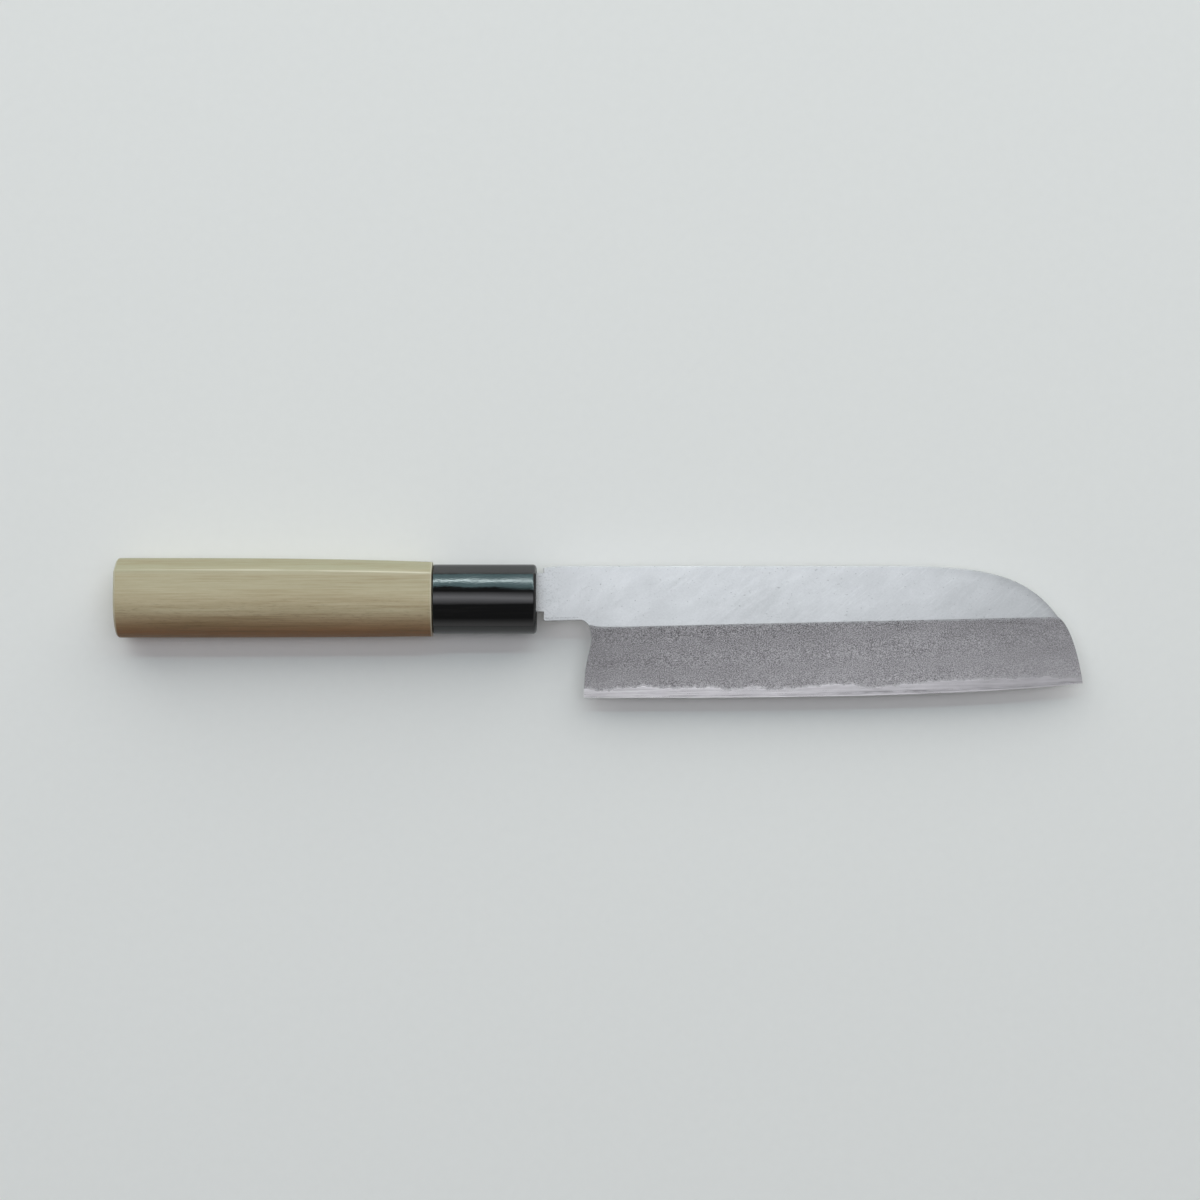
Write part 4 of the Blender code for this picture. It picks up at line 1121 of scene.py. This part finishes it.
    def lay_bevel_patch(self):
        """Places of the bevel, row by row from the edge to the ridge line.

        A row has one share of the way from edge to ridge line, and runs from the heel or throat to the
        cheek of the nose. The first rows fill the bare steel, the next ones the iron above it.
        """
        section = self.section
        edge_in = section.edge_ease
        rear_ease = np.concatenate((np.linspace(edge_in, section.neck_ease, CURVE_POINTS),
                                    np.full(CURVE_POINTS - 1, section.neck_ease)))
        rear = np.vstack((self.heel, self.throat[1:]))
        rear_in = inset(rear, rear_ease)
        front_ease = np.linspace(section.spine_ease, edge_in, CURVE_POINTS)
        front_in = inset(self.cheek, front_ease)
        nose_in = inset(self.nose, section.spine_ease)

        def share_of(points):
            """Share of the way from edge to ridge line at which each point lies."""
            low = self.edge_y(points[:, 0]) + edge_in
            return (points[:, 1] - low) / (self.ridge_y(points[:, 0]) - low)

        above = nose_in[:, 1] - self.ridge_y(nose_in[:, 0])
        last = int(np.argmax(above < 0))
        self.corner_x = float(np.interp(0, above[[last, last - 1]], nose_in[[last, last - 1], 0]))
        self.nose_in = nose_in[:last]

        rear_share = share_of(rear_in)
        front_share = share_of(front_in)[::-1]
        keep = front_share < CORNER_SHARE
        front_share = np.append(front_share[keep], 1.0)
        front_x = np.append(front_in[::-1, 0][keep], self.corner_x)
        front_round = np.append(front_ease[::-1][keep], section.spine_ease)

        columns = steps_with_guards(BLADE_COLUMNS, COLUMN_GUARD)
        part = np.concatenate((STEEL_ROWS, steps_with_guards(BEVEL_ROWS, BEVEL_GUARD)[1:]))[:, None]
        self.line_row = len(STEEL_ROWS) - 1
        is_steel = np.arange(len(part))[:, None] <= self.line_row

        def share_at(x):
            """Share of each row at x: the bare steel's rows end on the bare line."""
            low = self.edge_y(x) + edge_in
            bare = (self.lamination(x) - edge_in) / (self.ridge_y(x) - low)
            return np.where(is_steel, part * bare, bare + part * (1 - bare))

        start_x = np.full(len(part), self.heel_x)
        end_x = np.full(len(part), self.tip_x)
        for _ in range(SETTLING_ROUNDS):
            start_share = share_at(start_x[:, None])[:, 0]
            end_share = share_at(end_x[:, None])[:, 0]
            start_x = np.interp(start_share, rear_share, rear_in[:, 0])
            end_x = np.interp(end_share, front_share, front_x)
        x = start_x[:, None] + columns * (end_x - start_x)[:, None]
        low = self.edge_y(x) + edge_in
        y = low + share_at(x) * (self.ridge_y(x) - low)
        self.bevel = np.stack((x, y), axis=-1)
        self.rear_round = np.interp(start_share, rear_share, rear_ease)
        self.front_round = np.interp(end_share, front_share, front_round)
        self.rear_round[0] = edge_in
        self.front_round[0] = edge_in
        self.throat_in = rear_in[rear_share > 1][::-1]

    def lay_flat_patch(self):
        """Places of the flat, the neck and the tang, column by column from the tang's end to the nose.

        Each column stands upright at its x, from the tang's, neck's or throat's low side or the ridge
        line up to the tang's top, the spine or the nose.
        """
        blade, ease = self.outline, self.section.neck_ease
        neck_start = self.machi_x + ease
        tang_x = np.linspace(-self.scene.usuba_tang.length + ease, neck_start, TANG_COLUMNS)
        shoulder_x = self.machi_x + blade.shoulder_length
        corner_x, corner_y = self.neck_corner
        knots = (neck_start, self.machi_x + blade.neck_ease, shoulder_x, self.steel_x, corner_x)
        spans = [np.linspace(*span) for span in zip(knots, knots[1:], NECK_COLUMNS)]
        neck_x = np.concatenate((spans[0][:-1], spans[1][:-1], spans[2], spans[3][:-1]))
        throat_at = np.linspace(0, len(self.throat_in) - 1, THROAT_COLUMNS)
        throat_x, throat_y = (np.interp(throat_at, np.arange(len(self.throat_in)), column)[:-1]
                              for column in self.throat_in.T)
        ridge = self.bevel[-1]

        tang_low, tang_high, self.tang_half = tang_taper(self.scene, tang_x)
        share = (neck_x - self.machi_x) / (corner_x - self.machi_x)
        level = between(self.neck_low, corner_y, share) + ease
        cut = self.neck_low + blade.neck_ease - (neck_x - self.machi_x) + ease * math.sqrt(2)
        neck_low = np.maximum(level, cut)
        low = np.concatenate((tang_low + ease, neck_low, throat_y, ridge[:, 1]))
        x = np.concatenate((tang_x, neck_x, throat_x, ridge[:, 0]))

        after_tang = len(tang_x)
        top_round = np.interp(x, (self.machi_x, shoulder_x), (ease, self.section.spine_ease))
        top_round[:after_tang] = ease
        slope = np.interp(x, (self.machi_x, shoulder_x), (blade.shoulder_drop, 0))
        straight = blade.spine_rise - slope - top_round
        high = np.where(x > self.nose_in[0, 0], height_on(self.nose_in, x), straight)
        high[:after_tang] = tang_high - ease
        high[-1] = low[-1]

        rows = steps_with_guards(FLAT_ROWS, FLAT_GUARD)[:, None]
        self.flat = np.stack((np.broadcast_to(x, (len(rows), len(x))), low + rows * (high - low)), axis=-1)
        self.top_round = top_round
        self.after_tang = after_tang
        self.steel_column = after_tang + int(np.argmax(neck_x >= self.steel_x)) + 1


def rounded_rim(places, rounding, top_z, low_z, top_ease, low_ease):
    """The rounded rim between an upper and a lower surface, carried along places on their border.

    Each place moves out along the mitre of its two neighbouring sides by the sine of a quarter turn's
    angle times the rounding, and down or up by one minus its cosine times the ease.
    """
    moved = np.linalg.norm(np.diff(places, axis=0), axis=1) > SAME_PLACE
    moved = np.concatenate(((True,), moved))
    route = places[moved]
    closed = np.allclose(route[0], route[-1])
    route = route[:-1] if closed else route
    ahead = np.roll(route, -1, axis=0) - route
    if not closed:
        ahead[-1] = ahead[-2]
    side = np.stack((-ahead[:, 1], ahead[:, 0]), axis=1) / np.linalg.norm(ahead, axis=1)[:, None]
    before = np.roll(side, 1, axis=0)
    if not closed:
        before[0] = side[0]
    mitre = (side + before) / np.maximum(1 + np.sum(side * before, axis=1), MITRE_LIMIT)[:, None]
    if closed:
        mitre = np.vstack((mitre, mitre[:1]))
    mitre = mitre[np.cumsum(moved) - 1]
    turn = np.linspace(0, math.pi / 2, RIM_STEPS + 1)
    fall, none = 1 - np.cos(turn), np.zeros(RIM_STEPS + 1)
    out = np.concatenate((np.sin(turn), np.sin(turn)[::-1]))[:, None]
    sink = np.concatenate((fall, none))[:, None]
    lift = np.concatenate((none, fall[::-1]))[:, None]
    upper = np.arange(2 * RIM_STEPS + 2)[:, None] <= RIM_STEPS
    z = np.where(upper, top_z - sink * top_ease, low_z + lift * low_ease)
    return with_height(places + out[..., None] * (mitre * rounding[:, None]), z)


def with_height(places, z):
    """Places as points in space."""
    return np.concatenate((places, z[..., None]), axis=-1)


def blade_surface(patches, finishes, roundings):
    """The upper and lower faces of the bevel and flat patches, and the rim that runs round both.

    A patch is its places, its upper heights and its lower ones. The rim runs up the bevel's rear end,
    back along the low side of throat, neck and tang, up the flat's rear end, forwards along its top,
    down the bevel's front end, and back along the edge if there is a rounding for that too. For each of
    these there is the rounding, and the shares of it that the rim's upper and lower corners get.
    """
    surface = Surface()
    over_bevel = patches[0][0].shape[1]
    borders = ((0, np.s_[:, 0]), (1, np.s_[0, -over_bevel - 1::-1]), (1, np.s_[1:-1, 0]),
               (1, np.s_[-1, :-1]), (0, np.s_[::-1, -1]), (0, np.s_[0, ::-1]))
    for (places, top_z, low_z), (top_finish, low_finish) in zip(patches, finishes):
        surface.add(with_height(places, top_z), top_finish)
        surface.add(with_height(places, low_z), low_finish)
    stretches = []
    for (patch, where), amounts in zip(borders, roundings):
        values = [grid[where] for grid in patches[patch]]
        stretches.append(values + [np.broadcast_to(amount, len(values[0])) for amount in amounts])
    places, top_z, low_z, rounding, top_share, low_share = map(np.concatenate, zip(*stretches))
    ease = np.minimum(rounding, MOST_ROUNDING * (top_z - low_z))
    surface.add(rounded_rim(places, rounding, top_z, low_z, ease * top_share, ease * low_share))
    return surface


def make_blade_iron(scene):
    """The soft iron body: flat, misted bevel down to the bare line, neck and tang, over the weld."""
    shape = BladeShape(scene)
    line, over_bevel = shape.line_row, shape.bevel.shape[1]
    bevel, flat = shape.bevel[line:], shape.flat
    x, y = bevel[..., 0], bevel[..., 1]
    bevel_top, bevel_low = shape.bevel_z(x, y), shape.weld_z(x, y)
    bevel_low[0] = bevel_top[0]

    x, y = flat[..., 0], flat[..., 1]
    columns = np.arange(flat.shape[1])
    is_tang = columns < shape.after_tang
    no_steel = columns < shape.steel_column
    tang_half = np.zeros(len(columns))
    tang_half[is_tang] = shape.tang_half
    flat_top = np.where(is_tang, tang_half, shape.front_z(x))
    flat_low = np.where(is_tang, -tang_half, np.where(no_steel, shape.back_z, shape.weld_z(x, y)))

    ease = shape.section.neck_ease
    roundings = ((shape.rear_round[line:], 1, 0), (ease, 1, no_steel[-over_bevel - 1::-1]), (ease, 1, 1),
                 (shape.top_round[:-1], 1, no_steel[:-1]), (shape.front_round[line:][::-1], 1, 0))
    surface = blade_surface(((bevel, bevel_top, bevel_low), (flat, flat_top, flat_low)),
                            ((1, 0), (0, 0)), roundings)
    surface.build(scene, "blade_iron", "blade_jigane", "soft_iron", (iron_flat_finish, iron_mist_finish),
                  SHARP_BLADE, above_line=lambda x, y, z: y - shape.edge_y(x) - shape.lamination(x),
                  above_neck=shape.above_neck, above_ridge=lambda x, y, z: y - shape.ridge_y(x),
                  below_top=lambda x, y, z: shape.top_y(x) - y)


def make_blade_steel(scene):
    """The hard steel layer: bare band along the edge, weld above it, hollow-ground back."""
    shape = BladeShape(scene)
    line, start = shape.line_row, shape.steel_column
    x, y = shape.bevel[..., 0], shape.bevel[..., 1]
    row = np.arange(len(shape.bevel))
    bevel_top = np.where(row[:, None] <= line, shape.bevel_z(x, y), shape.weld_z(x, y))
    bevel = (shape.bevel, bevel_top, shape.hollow_z(x, y))
    flat = shape.flat[:, start:]
    x, y = flat[..., 0], flat[..., 1]
    flat = (flat, shape.weld_z(x, y), shape.hollow_z(x, y))
    bare = np.clip(1 - row / line, 0, 1)
    roundings = ((shape.rear_round, bare, 1), (shape.section.neck_ease, 0, 1), (0, 0, 1),
                 (shape.top_round[start:-1], 0, 1), (shape.front_round[::-1], bare[::-1], 1),
                 (shape.section.edge_ease, 1, 1))
    surface = blade_surface((bevel, flat), ((0, 1), (0, 1)), roundings)
    surface.build(scene, "blade_steel", "blade_hagane", "hard_steel", (steel_edge_finish, steel_back_finish),
                  SHARP_BLADE, above_edge=lambda x, y, z: y - shape.edge_y(x),
                  rim=lambda x, y, z: shape.hollow_z(x, y) - shape.back_z)


def add_lamp(scene, name, turn, length, width, level, tint, nearer=0.0):
    """A long soft lamp over the knife, off the vertical by turn towards the spine.

    Level is its radiance, so its power is that times pi times its area.
    """
    data = bpy.data.lights.new(name, "AREA")
    data.shape = "RECTANGLE"
    data.size = length
    data.size_y = width
    data.energy = level * math.pi * data.size * width
    data.color = tint
    lamp = bpy.data.objects.new(name, data)
    distance = scene.usuba_stage.lamp_distance - nearer
    lamp.location = (0.0, KNIFE_ORIGIN[1] + distance * math.sin(turn),
                     KNIFE_ORIGIN[2] + distance * math.cos(turn))
    lamp.rotation_euler = (-turn, 0, 0)
    lamp.visible_camera = False
    scene.collection.objects.link(lamp)


def make_room(stage):
    """Even light of the room, and a pale backdrop round it that only the camera and reflections see: low
    down on all sides, and higher up beyond the knife's two ends."""
    world = bpy.data.worlds.new("room")
    world.use_nodes = True
    tree = world.node_tree
    room = tree.nodes["Background"]
    feed(tree, (1.0, 1.0, 1.0), room.inputs["Color"])
    where = Value(tree, add_node(tree, "TexCoord").outputs["Generated"])
    direction = add_node(tree, "SeparateXYZ", Vector=where)
    sideways, high = (Value(tree, direction.outputs[axis]) for axis in "XZ")
    path = add_node(tree, "LightPath").outputs
    camera, glossy, through = (Value(tree, path[f"Is {kind} Ray"])
                               for kind in ("Camera", "Glossy", "Transmission"))
    share = abs(sideways).spread(*BACKDROP_ENDS) * high.spread(*BACKDROP_HIGH, 1.0, 0.0)
    share = share.or_more(high.spread(*BACKDROP_LOW, 1.0, 0.0)) * camera.or_more(glossy).or_more(through)
    feed(tree, share.spread(0.0, 1.0, stage.room_level, stage.backdrop_level), room.inputs["Strength"])
    return world


def make_stage(scene):
    """Floor, room light, lamps and the camera straight above."""
    stage, colours = scene.usuba_stage, scene.usuba_colours
    half = stage.floor_width / 2
    mesh = bpy.data.meshes.new("floor")
    mesh.from_pydata([(-half, -half, 0), (half, -half, 0), (half, half, 0), (-half, half, 0)], [],
                     [(0, 1, 2, 3)])
    finish = Finish("pale_floor", Roughness=0.75)
    fibre = finish.noise((0.003, 0.003, 0.003), detail=4)
    mesh.materials.append(finish.done(finish.mix(fibre, times(colours.floor, 0.97), colours.floor)))
    floor = bpy.data.objects.new("floor", mesh)
    scene.collection.objects.link(floor)

    scene.world = make_room(stage)

    length = stage.lamp_length
    add_lamp(scene, "key_lamp", stage.key_angle, stage.key_length, stage.key_width, stage.key_level, KEY_TINT)
    add_lamp(scene, "side_panel", stage.side_angle, length, stage.side_width, stage.side_level, SIDE_TINT)
    add_lamp(scene, "glow", stage.tube_angle, length, stage.glow_width, stage.glow_level, GLOW_TINT,
             LAMP_GAP)
    add_lamp(scene, "tube", stage.tube_angle, length, stage.tube_width, stage.tube_level, TUBE_TINT,
             2 * LAMP_GAP)
    for layer in range(stage.top_layers):
        width = stage.top_width * (1 - layer / stage.top_layers)
        add_lamp(scene, f"top_panel_{layer}", stage.top_angle, length, width, stage.top_level, TOP_TINT,
                 LAMP_GAP * layer)

    data = bpy.data.cameras.new("camera")
    data.sensor_width = SENSOR_WIDTH
    data.lens = SENSOR_WIDTH * stage.camera_height / stage.view_width
    data.clip_start, data.clip_end = NEAREST, FARTHEST
    camera = bpy.data.objects.new("camera", data)
    camera.location = KNIFE_ORIGIN + (stage.camera_x, stage.camera_y, stage.camera_height)
    scene.collection.objects.link(camera)
    scene.camera = camera
    scene.view_settings.view_transform = "Standard"


class USUBA_OT_handle(Operator):
    """Build the ho wood handle"""
    bl_idname = "usuba.handle"
    bl_label = "Wood handle"

    def execute(self, context):
        make_handle(context.scene)
        return {"FINISHED"}


class USUBA_OT_collar(Operator):
    """Build the black horn collar"""
    bl_idname = "usuba.collar"
    bl_label = "Horn collar"

    def execute(self, context):
        make_collar(context.scene)
        return {"FINISHED"}


class USUBA_OT_blade_iron(Operator):
    """Build the blade's soft iron body with its tang"""
    bl_idname = "usuba.blade_iron"
    bl_label = "Iron body"

    def execute(self, context):
        make_blade_iron(context.scene)
        return {"FINISHED"}


class USUBA_OT_blade_steel(Operator):
    """Build the hard steel layer on the blade's back"""
    bl_idname = "usuba.blade_steel"
    bl_label = "Steel layer"

    def execute(self, context):
        make_blade_steel(context.scene)
        return {"FINISHED"}


class USUBA_OT_stage(Operator):
    """Set up the floor, the lamps and the camera"""
    bl_idname = "usuba.stage"
    bl_label = "Stage"

    def execute(self, context):
        make_stage(context.scene)
        return {"FINISHED"}


SETTINGS = {
    "usuba_blade": BladeOutline,
    "usuba_section": BladeSection,
    "usuba_tang": TangSizes,
    "usuba_collar": CollarSizes,
    "usuba_handle": HandleSizes,
    "usuba_colours": FinishColours,
    "usuba_stage": StageSettings,
}
OPERATORS = (USUBA_OT_handle, USUBA_OT_collar, USUBA_OT_blade_iron, USUBA_OT_blade_steel, USUBA_OT_stage)


class USUBA_PT_build(Panel):
    """Lists the knife's pieces and their sizes"""
    bl_idname = "USUBA_PT_build"
    bl_label = "Usuba knife"
    bl_space_type = "VIEW_3D"
    bl_region_type = "UI"
    bl_category = "Knife"

    def draw(self, context):
        for operator in OPERATORS:
            self.layout.operator(operator.bl_idname)
        for name, group in SETTINGS.items():
            box = self.layout.box()
            box.label(text=group.__doc__)
            for setting in group.__annotations__:
                box.prop(getattr(context.scene, name), setting)


CLASSES = (*SETTINGS.values(), *OPERATORS, USUBA_PT_build)


def register():
    """Adds the classes, and hangs each group of settings on the scene."""
    for cls in CLASSES:
        bpy.utils.register_class(cls)
    for name, group in SETTINGS.items():
        setattr(bpy.types.Scene, name, PointerProperty(type=group))


def unregister():
    """Takes all that away again."""
    for name in SETTINGS:
        delattr(bpy.types.Scene, name)
    for cls in reversed(CLASSES):
        bpy.utils.unregister_class(cls)


def main():
    """Builds every piece and the stage."""
    register()
    bpy.ops.usuba.handle()
    bpy.ops.usuba.collar()
    bpy.ops.usuba.blade_iron()
    bpy.ops.usuba.blade_steel()
    bpy.ops.usuba.stage()


if __name__ == "__main__":
    main()
